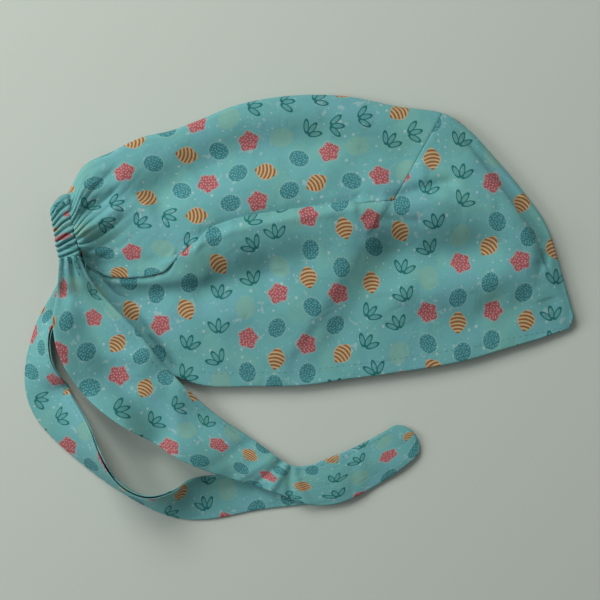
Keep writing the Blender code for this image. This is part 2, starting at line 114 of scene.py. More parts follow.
# Folds of the upper layer: a line as shares of CAP_LENGTH and CAP_HEIGHT, the widths on the left and on the
# right of it as shares of FOLD_WIDTH, and its height as a share of FOLD_HEIGHT, negative for a dent
Fold = namedtuple("Fold", "name x0 y0 x1 y1 left right height")
FOLDS = [
    Fold("band ridge", 0.281, 0.470, 0.345, 0.520, 0.6, 2.6, 0.80),
    Fold("band ridge", 0.345, 0.520, 0.455, 0.562, 0.6, 2.8, 1.10),
    Fold("band ridge", 0.455, 0.562, 0.559, 0.592, 0.6, 2.8, 1.10),
    Fold("band ridge", 0.559, 0.592, 0.664, 0.618, 0.6, 2.8, 1.10),
    Fold("band ridge", 0.664, 0.618, 0.749, 0.624, 0.6, 2.8, 1.25),
    Fold("band ridge", 0.749, 0.624, 0.829, 0.598, 1.2, 2.6, 1.00),
    Fold("band ridge", 0.829, 0.598, 0.863, 0.560, 1.5, 2.2, 0.60),
    Fold("crease along the ridge", 0.600, 0.572, 0.700, 0.562, 0.25, 0.5, -0.20),
    Fold("pocket over the ridge", 0.655, 0.632, 0.700, 0.668, 0.7, 0.7, -0.70),
    Fold("pocket over the ridge", 0.700, 0.668, 0.755, 0.690, 0.7, 0.7, -0.90),
    Fold("valley under the ridge", 0.150, 0.290, 0.285, 0.330, 1.4, 1.8, -1.05),
    Fold("valley under the ridge", 0.285, 0.330, 0.412, 0.385, 1.5, 2.0, -1.25),
    Fold("valley under the ridge", 0.412, 0.385, 0.490, 0.440, 1.6, 1.6, -0.60),
    Fold("diagonal crest", 0.594, 0.495, 0.550, 0.383, 1.1, 2.8, 0.55),
    Fold("diagonal crest", 0.550, 0.383, 0.506, 0.246, 1.0, 2.8, 0.60),
    Fold("diagonal crest", 0.506, 0.246, 0.455, 0.113, 0.6, 2.4, 0.55),
    Fold("diagonal crest", 0.455, 0.113, 0.438, 0.010, 0.5, 2.0, 0.35),
    Fold("diagonal valley", 0.640, 0.430, 0.580, 0.256, 1.6, 1.4, -0.60),
    Fold("diagonal valley", 0.580, 0.256, 0.500, 0.044, 1.8, 1.2, -0.50),
    Fold("right valley", 0.665, 0.455, 0.734, 0.440, 1.9, 2.2, -1.40),
    Fold("right valley", 0.734, 0.440, 0.820, 0.470, 1.9, 1.8, -1.30),
    Fold("low crest", 0.673, 0.315, 0.797, 0.335, 2.0, 1.4, 0.50),
    Fold("low crest", 0.797, 0.335, 0.900, 0.385, 1.8, 1.4, 0.45),
    Fold("hollow under it", 0.700, 0.215, 0.800, 0.215, 1.4, 2.4, -0.50),
    Fold("hollow under it", 0.800, 0.215, 0.905, 0.275, 1.4, 2.2, -0.45),
    Fold("rim", 0.110, 0.720, 0.190, 0.800, 1.0, 1.6, 0.60),
    Fold("rim", 0.190, 0.800, 0.341, 0.905, 1.2, 1.8, 0.80),
    Fold("rim", 0.341, 0.905, 0.455, 0.955, 1.2, 1.8, 0.90),
    Fold("rim", 0.455, 0.955, 0.600, 0.945, 1.2, 1.8, 0.80),
    Fold("rim", 0.600, 0.945, 0.710, 0.900, 1.2, 1.6, 0.60),
    Fold("rim trough", 0.150, 0.575, 0.209, 0.655, 2.2, 1.8, -1.00),
    Fold("rim trough", 0.209, 0.655, 0.284, 0.745, 2.4, 2.0, -2.00),
    Fold("rim trough", 0.284, 0.745, 0.385, 0.812, 2.5, 2.1, -2.30),
    Fold("rim trough", 0.385, 0.812, 0.512, 0.828, 2.5, 2.2, -2.30),
    Fold("rim trough", 0.512, 0.828, 0.664, 0.775, 2.4, 2.1, -2.00),
    Fold("rim trough", 0.664, 0.790, 0.720, 0.750, 1.6, 1.6, -0.70),
    Fold("crown swell", 0.360, 0.660, 0.474, 0.710, 2.4, 2.6, 0.35),
    Fold("crown swell", 0.474, 0.710, 0.600, 0.690, 2.4, 2.4, 0.35),
    Fold("side pleat", 0.095, 0.372, 0.123, 0.355, 0.8, 0.40, 0.50),
    Fold("side pleat", 0.123, 0.355, 0.190, 0.350, 0.9, 0.40, 0.55),
    Fold("side pleat", 0.190, 0.350, 0.290, 0.366, 0.9, 0.50, 0.50),
    Fold("casing ridge", 0.066, 0.510, 0.127, 0.596, 0.55, 0.8, 0.80),
    Fold("casing ridge", 0.127, 0.596, 0.185, 0.625, 0.8, 1.2, 0.40),
    Fold("crease over it", 0.062, 0.590, 0.120, 0.655, 0.6, 0.5, -0.60),
    Fold("upper gather", 0.056, 0.650, 0.095, 0.735, 0.5, 0.6, 0.60),
    Fold("crease by the gather", 0.070, 0.640, 0.125, 0.735, 0.5, 0.5, -0.50),
    Fold("front pleat", 0.768, 0.871, 0.812, 0.769, 0.22, 1.6, 0.80),
    Fold("front pleat", 0.812, 0.769, 0.863, 0.649, 0.20, 1.8, 1.25),
    Fold("front pleat", 0.863, 0.649, 0.910, 0.523, 0.20, 1.6, 1.30),
    Fold("front pleat", 0.910, 0.523, 0.931, 0.444, 0.22, 1.2, 1.10),
    Fold("front pleat's shadow", 0.835, 0.775, 0.890, 0.660, 0.9, 0.7, -0.60),
    Fold("front pleat's shadow", 0.890, 0.660, 0.940, 0.500, 0.8, 0.7, -0.70),
    Fold("gully beside the tie", 0.080, 0.385, 0.120, 0.285, 0.70, 1.6, -1.90),
    Fold("gully beside the tie", 0.120, 0.285, 0.172, 0.185, 0.75, 1.6, -2.20),
    Fold("gully beside the tie", 0.172, 0.185, 0.232, 0.055, 0.60, 1.6, -1.60),
    Fold("front dimple", 0.935, 0.445, 0.935, 0.420, 0.5, 0.8, -0.90),
]
CROWN_GATHERS = 3.0  # broad gathers beside the casing, and how high and long they are
GATHER_HEIGHT = 0.0014
GATHER_LENGTH = 0.030
NAPE_HEIGHT = 0.0166  # where the crown goes into the casing, and how soon it comes down from there
NAPE_FALL = 0.011
CASING_RIBS = 11  # ruffles on each side of the nape, of uneven heights
RIB_SLANT = 4.2
RIB_UNEVENNESS = (0.40, 1.50)
CASING_WIDTH = 0.012
RUFFLE_HEIGHT = 0.0015  # of those that run on into the crown
RUFFLE_LENGTH = 0.014
RIB_WANDER = (0.35, 5.0, 2.2)  # how far the ruffles wander, and how fast along the casing and across it
RIB_DRAW = 12
SPARE_RIBS = 4
CREST_ROUNDNESS = 0.6
GATHERS_CLEAR = (0.02, 0.20)  # of the seam, as shares of the way to the top
SEAM_PUCKER = 0.00022  # small waves beside a seam, their lengths, and how far out they reach
PUCKER_WAVES = (0.0011, 0.0043)
PUCKER_REACH = 0.0035
GATHERED_PRINT = 0.45  # how much the print is squeezed at the casing, towards which height
GATHER_MIDDLE = 0.6 * CAP_HEIGHT
CRUMPLES = 30  # slack waves of the cloth, their lengths, and their height as a share of the length
CRUMPLE_LENGTHS = (0.010, 0.042)
CRUMPLE_SLOPE = 0.0028
CRUMPLE_DRIFT = 0.004  # how far the waves bend, over which lengths
CRUMPLE_DRIFTS = (0.013, 0.017)
CRUMPLE_DRAW = 41
CROWN_GRAIN = math.radians(78)  # how the print is turned on the crown and on the casing
SHOWN_THROUGH = 0.55  # how faded the print is on the wrong side
SAME_PLACE = 1e-6


def through(rows, places, at):
    """The columns of a table at some places, on smooth curves through its rows."""
    table = np.array(rows, dtype=float)
    places = np.asarray(places, dtype=float)
    at = np.asarray(at, dtype=float)
    i = np.clip(np.searchsorted(places, at, side="right") - 1, 0, len(places) - 2)
    before = np.maximum(i - 1, 0)
    after = np.minimum(i + 2, len(places) - 1)
    span = (places[i + 1] - places[i])[..., None]
    a = (at - places[i])[..., None] / span
    slope0 = (table[i + 1] - table[before]) / (places[i + 1] - places[before])[..., None] * span
    slope1 = (table[after] - table[i]) / (places[after] - places[i])[..., None] * span
    return (
        (2 * a**3 - 3 * a**2 + 1) * table[i]
        + (a**3 - 2 * a**2 + a) * slope0
        + (3 * a**2 - 2 * a**3) * table[i + 1]
        + (a**3 - a**2) * slope1
    )


def smooth_step(low, high, value):
    a = np.clip((value - low) / (high - low), 0.0, 1.0)
    return a * a * (3 - 2 * a)


def length_of(vectors):
    return np.linalg.norm(vectors, axis=-1, keepdims=True)


def lines_of(t):
    """Brim edge, seam and top crest of the cap in sections t, as plan places, and the rest of the table."""
    row = through(SECTIONS, np.arange(len(SECTIONS)), t)
    size = np.array([CAP_LENGTH, CAP_HEIGHT])
    brim = row[..., 0:2] * size
    seam = row[..., 2:4] * size
    top = row[..., 4:6] * size
    outward = (top - seam) / length_of(top - seam)
    radius = row[..., 8:9] * TURN_RADIUS
    return brim, seam, top - outward * radius, outward, radius, row[..., 6:7], row[..., 7:8]


def fold_relief(place):
    """Height of the folds at plan places: of lines of one name the strongest counts."""
    size = np.array([CAP_LENGTH, CAP_HEIGHT])
    heights = {}
    for fold in FOLDS:
        start = np.array([fold.x0, fold.y0]) * size
        run = np.array([fold.x1, fold.y1]) * size - start
        away = place - start
        along = np.clip(away @ run / (run @ run), 0.0, 1.0)[..., None]
        distance = length_of(away - along * run)
        on_left = run[0] * away[..., 1:2] - run[1] * away[..., 0:1] > 0
        width = np.where(on_left, fold.left, fold.right) * FOLD_WIDTH
        height = fold.height * FOLD_HEIGHT * np.exp(-((distance / width) ** 2))
        stronger = np.maximum if fold.height > 0 else np.minimum
        heights[fold.name] = stronger(height, heights.get(fold.name, 0.0))
    return sum(heights.values())


crumple_draw = np.random.default_rng(CRUMPLE_DRAW)
crumple_waves = list(zip(
    crumple_draw.uniform(0, math.pi, CRUMPLES),
    crumple_draw.uniform(*CRUMPLE_LENGTHS, CRUMPLES),
    crumple_draw.uniform(0, 2 * math.pi, CRUMPLES),
))


def crumples(place):
    """Slack of the cloth that no fold in the table accounts for."""
    x = place[..., 0:1] + CRUMPLE_DRIFT * np.sin(place[..., 1:2] / CRUMPLE_DRIFTS[0])
    y = place[..., 1:2] + CRUMPLE_DRIFT * np.sin(place[..., 0:1] / CRUMPLE_DRIFTS[1])
    height = 0.0
    for heading, span, phase in crumple_waves:
        wave = np.sin(2 * math.pi * (x * math.cos(heading) + y * math.sin(heading)) / span + phase)
        height = height + CRUMPLE_SLOPE * span * wave
    return height


rib_heights = np.random.default_rng(RIB_DRAW).uniform(*RIB_UNEVENNESS, 2 * (CASING_RIBS + SPARE_RIBS))


def ruffle(across, share):
    """Ruffles of the gathered nape, from -1 to 1: rounded crests with narrow creases between. Across runs from
    0 at the crown to 1 at the nape edge, share from the near end of the casing to the far one."""
    wander, along_it, across_it = RIB_WANDER
    slant = RIB_SLANT * across + wander * np.sin(along_it * share + across_it * across)
    place = 2 * CASING_RIBS * share + slant / math.pi
    crest = 2 * np.abs(np.sin(math.pi * place)) ** CREST_ROUNDNESS - 1
    return crest * np.interp(place, np.arange(len(rib_heights)) - SPARE_RIBS, rib_heights)


def past_casing(place):
    """How far a plan place of the crown is from the casing's edge."""
    size = np.array([CAP_LENGTH, CAP_HEIGHT])
    seam = np.array(SECTIONS[0][2:4]) * size
    run = np.array(SECTIONS[0][4:6]) * size - seam
    across = np.array([run[1], -run[0]]) / np.linalg.norm(run)
    return np.maximum((place - seam) @ across, 0.0)[..., None]


def gathers(place, share, height):
    """Rise of the crown towards the casing; share runs from 0 at the seam to 1 at the top."""
    from_casing = past_casing(place)
    clear_of_seam = smooth_step(*GATHERS_CLEAR, share)
    broad = GATHER_HEIGHT * np.exp(-from_casing / GATHER_LENGTH) * np.sin(2 * math.pi * share * CROWN_GATHERS)
    small = RUFFLE_HEIGHT * np.exp(-from_casing / RUFFLE_LENGTH) * ruffle(-from_casing / CASING_WIDTH, share / 2)
    lift = (NAPE_HEIGHT - height) * np.exp(-((from_casing / NAPE_FALL) ** 2))
    return clear_of_seam * (broad + small + lift)


def upper_layer(t, level):
    """Points of the near side's cloth: level 0 is the brim edge, 1 the seam, 2 the top crest."""
    brim, seam, top, outward, radius, puff, gap = lines_of(t)
    level = np.broadcast_to(level, t.shape)[..., None]
    place = np.where(level <= 1, brim + (seam - brim) * level, seam + (top - seam) * (level - 1))
    lower = length_of(seam - brim)
    upper = length_of(top - seam)
    run = (lower * np.minimum(level, 1) + upper * np.maximum(level - 1, 0)) / (lower + upper)
    run = np.clip(run, 0.0, 1.0)
    arch = np.sin(math.pi * run)
    edges = gap * BRIM_GAP * (1 - run) + 2 * radius * run
    bulge = puff * PUFF * np.sin(math.pi * run**BULGE_LEAN) ** BULGE_SHAPE
    share_of_folds = np.minimum(1.0, puff / FULL_FOLDS_FROM)
    relief = (fold_relief(place) + crumples(place)) * share_of_folds
    relief = relief + np.where(level > 1, gathers(place, level - 1, UNDERSIDE + edges + bulge), 0.0)
    height = np.maximum(UNDERSIDE + edges + bulge + relief * np.sqrt(arch), UNDERSIDE + LEAST_HOLLOW)
    return np.concatenate([place, height], axis=-1), place


def top_turn(t, turn):
    """Points of the cloth where it turns over the top: 0 above, 1 below, and where they lie on the flat cloth."""
    brim, seam, top, outward, radius, puff, gap = lines_of(t)
    angle = math.pi * turn
    place = top + outward * radius * math.sin(angle)
    height = UNDERSIDE + radius * (1 + math.cos(angle))
    return np.concatenate([place, height], axis=-1), top + outward * radius * angle


def far_side(t, level):
    """Points of the cloth on the table: level 2 is the top crest, 3 the seam, 4 the brim edge."""
    brim, seam, top, outward, radius, puff, gap = lines_of(t)
    level = np.broadcast_to(level, t.shape)[..., None]
    inner = brim + (seam - brim) / length_of(seam - brim) * BRIM_SET_BACK * gap
    place = np.where(level <= 3, top + (seam - top) * (level - 2), seam + (inner - seam) * (level - 3))
    height = np.full_like(level, UNDERSIDE)
    flat = top + outward * (radius * math.pi + length_of(place - top))
    return np.concatenate([place, height], axis=-1), flat


def panel_row(t, level, turn, side):
    """A row of the crown (side 1) or the band (side -1), moved over, under or away from the other at their seam."""
    if turn > 0:
        return top_turn(t, turn)
    brim, seam, top, outward, radius, puff, gap = lines_of(t)
    top = top + outward * radius
    upper = length_of(top - seam)[..., 0]
    lower = length_of(brim - seam)[..., 0]
    own, other = (upper, lower) if side > 0 else (lower, upper)
    whole = (t > FRONT_SEAM) & (side < 0)
    over = np.interp(t, [lap.section for lap in LAPS], [lap.over for lap in LAPS])
    spread = np.maximum(np.abs(over) * 2 - 1, 0.0)
    butt = SEAM_GAP / 2 + TUCK_RADIUS
    if level > 2:
        away = abs(level - 3) * own
        moved = away + np.maximum(1 - away / own, 0) * butt
        return far_side(t, np.where(whole, level, 3 - side * moved / own))
    shift = SEAM_LAP * spread - butt * (1 - spread)
    away = abs(level - 1) * own
    moved = away - (1 - away / own) * shift
    here = 1 + side * moved / np.where(moved > 0, own, other)
    points, flat = upper_layer(t, np.where(whole, level, here))
    lapped = np.sign(over) * smooth_step(0.0, LAP_START, spread)
    rise = lapped * LAP_STEP * (1 - smooth_step(LAP_FLAT, LAP_RISE, away))
    short, long = PUCKER_WAVES
    pucker = SEAM_PUCKER * np.sin(points[..., 0] / short + 2 * np.sin(points[..., 0] / long))
    points[..., 2] += np.where(whole, 0.0, side * rise + pucker * np.exp(-away / PUCKER_REACH))
    return points, flat


def panel(t, rows, side):
    """All rows of a panel: its points, and the place of each on the flat cloth."""
    made = [panel_row(t, level, turn, side) for level, turn in rows]
    return np.stack([points for points, _ in made]), np.stack([flat for _, flat in made])


def top_rows(upper, turn, under):
    """Levels and turns from the seam over the top to the far side's seam."""
    return (
        [(1 + i / upper, 0.0) for i in range(upper)]
        + [(2.0, i / turn) for i in range(turn)]
        + [(2.0, 1.0)]
        + [(2 + i / under, 0.0) for i in range(1, under + 1)]
    )


def turned_under(patch, inward, radius=TUCK_RADIUS, bend=TUCK_BEND, steps=TUCK_STEPS):
    """The strip that turns under at a patch's first row; inward is 1 or -1, for the way in."""
    points, flat = patch
    edge = points[0]
    out = (edge - points[1]) / length_of(edge - points[1])
    along = np.gradient(edge, axis=0)
    down = np.cross(along, out) * inward
    down = down / length_of(down)
    flat_out = (flat[0] - flat[1]) / length_of(flat[0] - flat[1])
    angles = np.linspace(0, bend, steps + 1)
    strip = [edge + out * radius * math.sin(a) + down * radius * (1 - math.cos(a)) for a in angles]
    return np.stack(strip), np.stack([flat[0] + flat_out * radius * a for a in angles])


def sideways(patch):
    """A patch with its columns as rows."""
    return tuple(np.swapaxes(grid, 0, 1) for grid in patch)


def front_opening():
    """Half the opening of the front seam, in sections."""
    ends = np.array([FRONT_SEAM - 1.0, FRONT_SEAM])
    points = upper_layer(ends, 1.5)[0]
    return (SEAM_GAP / 2 + TUCK_RADIUS) / np.linalg.norm(points[1] - points[0])


def sew(name, patches, keep=None):
    """One mesh of some patches, welded where their edges meet, with its outer face up or out. The place of
    each point on the flat cloth is kept as the attribute that the print is read from."""
    corners = []
    places = []
    faces = []
    for number, (points, flat) in enumerate(patches):
        rows, columns = points.shape[:2]
        index = np.arange(rows * columns).reshape(rows, columns) + len(corners)
        cells = np.stack([index[:-1, :-1], index[:-1, 1:], index[1:, 1:], index[1:, :-1]], axis=-1)
        if keep is not None and number == 0:
            cells = cells[keep]
        faces += cells.reshape(-1, 4).tolist()
        corners += points.reshape(-1, 3).tolist()
        places += flat.reshape(-1, 2).tolist()
    mesh = bpy.data.meshes.new(name)
    mesh.from_pydata(corners, [], faces)
    cloth = mesh.attributes.new("cloth", "FLOAT_VECTOR", "POINT")
    cloth.data.foreach_set("vector", np.pad(np.array(places), ((0, 0), (0, 1))).ravel())
    work = bmesh.new()
    work.from_mesh(mesh)
    bmesh.ops.remove_doubles(work, verts=work.verts, dist=SAME_PLACE)
    bmesh.ops.delete(work, geom=[v for v in work.verts if not v.link_faces], context="VERTS")
    bmesh.ops.recalc_face_normals(work, faces=work.faces)
    work.faces.ensure_lookup_table()
    highest = max(work.faces, key=lambda face: face.calc_center_median().z)
    if highest.normal.z < 0:
        bmesh.ops.reverse_faces(work, faces=work.faces)
    work.to_mesh(mesh)
    work.free()
    mesh.shade_smooth()
    return mesh


def cotton_piece(name, mesh, materials, wall):
    """An object of sheet cotton: outer face, and the wrong side of the cloth inside."""
    piece = bpy.data.objects.new(name, mesh)
    bpy.context.scene.collection.objects.link(piece)
    for material in materials:
        mesh.materials.append(material)
    if wall:
        solidify = piece.modifiers.new("Cotton", "SOLIDIFY")
        solidify.thickness = wall
        solidify.offset = 0.0
        solidify.use_even_offset = False
        solidify.material_offset = 1
    return piece


class Drawn:
    """A number that is worked out at each point of the cloth. A sum of it makes the nodes that work it out."""

    def __init__(self, socket):
        self.socket = socket

    def by(self, operation, *others):
        return reckon(self.socket.id_data, operation, self, *others)

    def __add__(self, other):
        return self.by("ADD", other)

    __radd__ = __add__

    def __sub__(self, other):
        return self.by("SUBTRACT", other)

    def __rsub__(self, other):
        return reckon(self.socket.id_data, "SUBTRACT", other, self)

    def __mul__(self, other):
        return self.by("MULTIPLY", other)

    def __truediv__(self, other):
        return self.by("DIVIDE", other)

    def __pow__(self, other):
        return self.by("POWER", other)

    def __mod__(self, other):
        return self.by("FLOORED_MODULO", other)

    def __abs__(self):
        return self.by("ABSOLUTE")


def put(value, socket):
    """A number, a colour or another node's output, put into a node's input."""
    if isinstance(value, Drawn):
        value = value.socket
    if isinstance(value, bpy.types.NodeSocket):
        socket.id_data.links.new(value, socket)
    else:
        socket.default_value = value


def added(tree, kind, inputs=None, **settings):
    """A new node with its settings, and what goes into it, by the name or number of the input."""
    node = tree.nodes.new(kind)
    for name, value in settings.items():
        setattr(node, name, value)
    for name, value in (inputs or {}).items():
        put(value, node.inputs[name])
    return node


def reckon(tree, operation, *values):
    """A sum of numbers, of which one or more change over the cloth."""
    return Drawn(added(tree, "ShaderNodeMath", dict(enumerate(values)), operation=operation).outputs[0])


def fade(value, low, high):
    """0 at low and 1 at high, soft between."""
    inputs = {"Value": value, "From Min": low, "From Max": high}
    node = added(value.socket.id_data, "ShaderNodeMapRange", inputs, interpolation_type="SMOOTHSTEP")
    return Drawn(node.outputs["Result"])


def laid_over(share, under, over):
    """A colour with another laid over it."""
    inputs = {0: share, 6: under, 7: over}
    return added(share.socket.id_data, "ShaderNodeMix", inputs, data_type="RGBA").outputs[2]


def clouds(tree, place, scale, detail, distortion=0.0, dimensions="2D"):
    """Soft uneven patches over the cloth."""
    inputs = {"Vector": place, "Scale": scale, "Detail": detail, "Distortion": distortion}
    return Drawn(added(tree, "ShaderNodeTexNoise", inputs, noise_dimensions=dimensions).outputs[0])


def new_group(name, inputs, outputs):
    """A shader group with named sockets: its tree, its inputs by name and its output node."""
    tree = bpy.data.node_groups.new(name, "ShaderNodeTree")
    for label, kind, value in inputs:
        socket = tree.interface.new_socket(label, in_out="INPUT", socket_type=kind)
        if value is not None:
            socket.default_value = value
    for label, kind in outputs:
        tree.interface.new_socket(label, in_out="OUTPUT", socket_type=kind)
    entry = tree.nodes.new("NodeGroupInput")
    return tree, entry.outputs, tree.nodes.new("NodeGroupOutput")


def drawn_cells(x, y, pitch):
    """Cells of a half-drop repeat: cell numbers, the place in the cell from its middle, in pitches, and draws."""
    tree = x.socket.id_data
    across = x / pitch
    column = across.by("FLOOR")
    up = y / pitch + column % 2.0 * 0.5
    row = up.by("FLOOR")
    cell = added(tree, "ShaderNodeCombineXYZ", {0: column, 1: row})
    chance = added(tree, "ShaderNodeTexWhiteNoise", {"Vector": cell.outputs[0]}, noise_dimensions="2D")
    draws = added(tree, "ShaderNodeSeparateColor", {0: chance.outputs["Color"]})
    draws = [Drawn(draws.outputs[i]) for i in range(3)]
    return column, row, across - column - 0.5, up - row - 0.5, draws, Drawn(chance.outputs["Value"])


def round_of(x, y, half_x, half_y):
    """1 on an oval's edge, less inside it, more outside."""
    a = x / half_x
    b = y / half_y
    return (a * a + b * b).by("SQRT")


def turned(x, y, angle):
    """A place turned by an angle."""
    c = reckon(x.socket.id_data, "COSINE", angle)
    s = reckon(x.socket.id_data, "SINE", angle)
    return x * c + y * s, y * c - x * s


def specks(x, y, size, radius):
    """Small pale dots inside a motif."""
    tree = x.socket.id_data
    place = added(tree, "ShaderNodeCombineXYZ", {0: x, 1: y})
    inputs = {"Vector": place.outputs[0], "Scale": 1 / size, "Randomness": 0.55}
    dots = added(tree, "ShaderNodeTexVoronoi", inputs, voronoi_dimensions="2D")
    return fade(Drawn(dots.outputs["Distance"]), radius * 1.3, radius * 0.8)


# The print. Sizes are in millimetres, half width and half height for what is oval
WASH_TINTS = (0.150, 0.400, 0.430, 1), (0.160, 0.420, 0.390, 1)
SPLASH_TINT = (0.36, 0.54, 0.52, 1)
FLECK_TINT = (0.40, 0.56, 0.54, 1)
FLECK_PITCH = 4.3
FLECK_SIZES = (0.07, 0.14)  # the least, and what chance adds to it
CELLS_WITHOUT_FLECK = 0.62
MOTIF_SHIFT = 0.30  # how far chance moves a motif, in pitches, and turns it, in radians
MOTIF_TURN = 1.5
GHOST_LEAF = (5.0, 6.2)
SPRIG_LEAF = (1.45, 3.7)
SPRIG_LEAN = 0.72
SPRIG_ROOT = 4.2  # under the middle of the motif, and the leaf's own middle over the root
LEAF_MIDDLE = 4.6
BERRY = (4.3, 5.2)
BERRY_HALO = (0.30, 0.50, 0.48, 1)
BERRY_SPECK = (0.17, 0.41, 0.42, 1)
SEED_LEAF = (4.3, 6.1)
SEED_RIM = (0.42, 0.38, 0.29, 1)
SEED_STRIPES = (0.26, 0.10, 0.035, 1), (0.52, 0.44, 0.28, 1)
SEED_STRIPE_PITCH = 1.95
SEED_STRIPE_BEND = 0.07
BLOSSOM = (4.7, 5.1)
BLOSSOM_HALO = (0.42, 0.40, 0.36, 1)
BLOSSOM_SPECK = (0.56, 0.30, 0.27, 1)
PETALS = 5.0
PETAL_DEPTH = 0.10
FADED_TINT = (0.30, 0.47, 0.46, 1)
# The chart of the repeat: which motif a cell has, and how its order goes on from cell to cell
CHART = (
    "blossom", "sprig", "berry", "seed leaf", "ghost leaf", "sprig", "blossom", "berry", "sprig",
    "seed leaf", "berry",
)
CHART_STEPS = (3.0, 4.0)


def garden_print():
    """A half-drop scatter of blossoms, berries, seed leaves, sprigs and ghost leaves."""
    tree, given, result = new_group(
        "Scattered garden print",
        [
            ("Cloth", "NodeSocketVector", None),
            ("Pitch", "NodeSocketFloat", 16.8),
            ("Motif size", "NodeSocketFloat", 1.06),
            ("Ground", "NodeSocketColor", (0.140, 0.400, 0.402, 1)),
            ("Blossom", "NodeSocketColor", (0.38, 0.095, 0.112, 1)),
            ("Berry", "NodeSocketColor", (0.042, 0.215, 0.235, 1)),
            ("Seed leaf", "NodeSocketColor", (0.47, 0.27, 0.10, 1)),
            ("Sprig", "NodeSocketColor", (0.012, 0.150, 0.145, 1)),
            ("Ghost leaf", "NodeSocketColor", (0.200, 0.420, 0.350, 1)),
            ("Fade", "NodeSocketFloat", 0.0),
        ],
        [("Colour", "NodeSocketColor")],
    )
    split = added(tree, "ShaderNodeSeparateXYZ", {0: given["Cloth"]})
    x = Drawn(split.outputs[0]) * 1000.0
    y = Drawn(split.outputs[1]) * 1000.0

    wash = clouds(tree, given["Cloth"], 38.0, 2.0)
    colour = laid_over(fade(wash, 0.50, 0.72), given["Ground"], WASH_TINTS[0])
    colour = laid_over(fade(wash, 0.46, 0.30), colour, WASH_TINTS[1])

    splash = clouds(tree, given["Cloth"], 210.0, 1.5)
    patches = fade(splash, 0.66, 0.72) * fade(wash, 0.44, 0.56)
    colour = laid_over(patches * 0.55, colour, SPLASH_TINT)

    column, row, in_x, in_y, draws, chance = drawn_cells(x, y, FLECK_PITCH)
    fleck = round_of(in_x - (draws[0] - 0.5) * 0.5, in_y - (draws[1] - 0.5) * 0.5, 1.0, 1.2)
    fleck = fade(fleck / (draws[2] ** 3.0 * FLECK_SIZES[1] + FLECK_SIZES[0]), 1.3, 0.6)
    fleck = fleck * chance.by("GREATER_THAN", CELLS_WITHOUT_FLECK)
    colour = laid_over(fleck * 0.75, colour, FLECK_TINT)

    column, row, in_x, in_y, draws, chance = drawn_cells(x, y, given["Pitch"])
    size = Drawn(given["Pitch"]) / given["Motif size"]
    x = (in_x - (draws[0] - 0.5) * MOTIF_SHIFT) * size
    y = (in_y - (draws[1] - 0.5) * MOTIF_SHIFT) * size
    x, y = turned(x, y, (draws[2] - 0.5) * MOTIF_TURN)
    order = (column * CHART_STEPS[0] + row * CHART_STEPS[1]) % float(len(CHART))

    def only(motif, mask):
        """A motif's mask, in the cells that the chart gives it."""
        numbers = [float(number) for number, name in enumerate(CHART) if name == motif]
        return mask * sum(order.by("COMPARE", number, 0.4) for number in numbers)

    ghost = fade(round_of(x, y, *GHOST_LEAF), 1.05, 0.95)
    colour = laid_over(only("ghost leaf", ghost * 0.8), colour, given["Ghost leaf"])

    leaves = 0.0
    for lean in (-SPRIG_LEAN, 0.0, SPRIG_LEAN):
        leaf_x, leaf_y = turned(x, y + SPRIG_ROOT, lean)
        edge = round_of(leaf_x, leaf_y - LEAF_MIDDLE, *SPRIG_LEAF)
        line = fade(abs(edge - 0.86), 0.26, 0.12)
        leaves = line.by("MAXIMUM", fade(edge, 1.0, 0.9) * 0.30).by("MAXIMUM", leaves)
    colour = laid_over(only("sprig", leaves), colour, given["Sprig"])

    berry = round_of(x, y, *BERRY)
    halo = fade(abs(berry - 1.06), 0.20, 0.02)
    colour = laid_over(only("berry", halo * 0.25), colour, BERRY_HALO)
    skin = laid_over(specks(x, y, 1.35, 0.23), given["Berry"], BERRY_SPECK)
    colour = laid_over(only("berry", fade(berry, 1.04, 0.94)), colour, skin)

    lens = 1.0 - (y / SEED_LEAF[1]) ** 2.0
    lens = abs(x) / lens.by("MAXIMUM", 0.001)
    colour = laid_over(only("seed leaf", fade(lens, SEED_LEAF[0] + 0.7, SEED_LEAF[0] + 0.1)), colour, SEED_RIM)
    stripe = ((y + x * x * SEED_STRIPE_BEND) * (2 * math.pi / SEED_STRIPE_PITCH)).by("SINE")
    seeds = laid_over(fade(stripe, 0.15, 0.45), given["Seed leaf"], SEED_STRIPES[0])
    seeds = laid_over(fade(stripe, -0.55, -0.85), seeds, SEED_STRIPES[1])
    colour = laid_over(only("seed leaf", fade(lens, SEED_LEAF[0], SEED_LEAF[0] - 0.4)), colour, seeds)

    petals = (y.by("ARCTAN2", x) * PETALS).by("COSINE") * PETAL_DEPTH + 1.0
    blossom = round_of(x, y, *BLOSSOM) / petals
    halo = fade(abs(blossom - 1.08), 0.12, 0.02)
    colour = laid_over(only("blossom", halo * 0.4), colour, BLOSSOM_HALO)
    heart = laid_over(specks(x, y, 1.5, 0.24), given["Blossom"], BLOSSOM_SPECK)
    colour = laid_over(only("blossom", fade(blossom, 1.04, 0.95)), colour, heart)

    put(laid_over(Drawn(given["Fade"]), colour, FADED_TINT), result.inputs["Colour"])
    return tree


def plain_weave():
    """Threads over and under each other: their height, and painted shade that darkens the cloth between them, where
    they lie low.
    """
    tree, given, result = new_group(
        "Plain weave",
        [("Cloth", "NodeSocketVector", None), ("Thread", "NodeSocketFloat", 0.00042)],
        [("Height", "NodeSocketFloat"), ("Shade", "NodeSocketFloat")],
    )
    split = added(tree, "ShaderNodeSeparateXYZ", {0: given["Cloth"]})
    warp, weft = [(Drawn(split.outputs[i]) / given["Thread"] * math.pi).by("SINE") for i in range(2)]
    slubs = clouds(tree, given["Cloth"], 900.0, 1.0, dimensions="3D")
    height = abs(warp * weft) + slubs * 0.6
    put(height, result.inputs["Height"])
    # Painted shade: darker where the threads and slubs are low.
    put(height * 0.10 + 0.90, result.inputs["Shade"])
    return tree


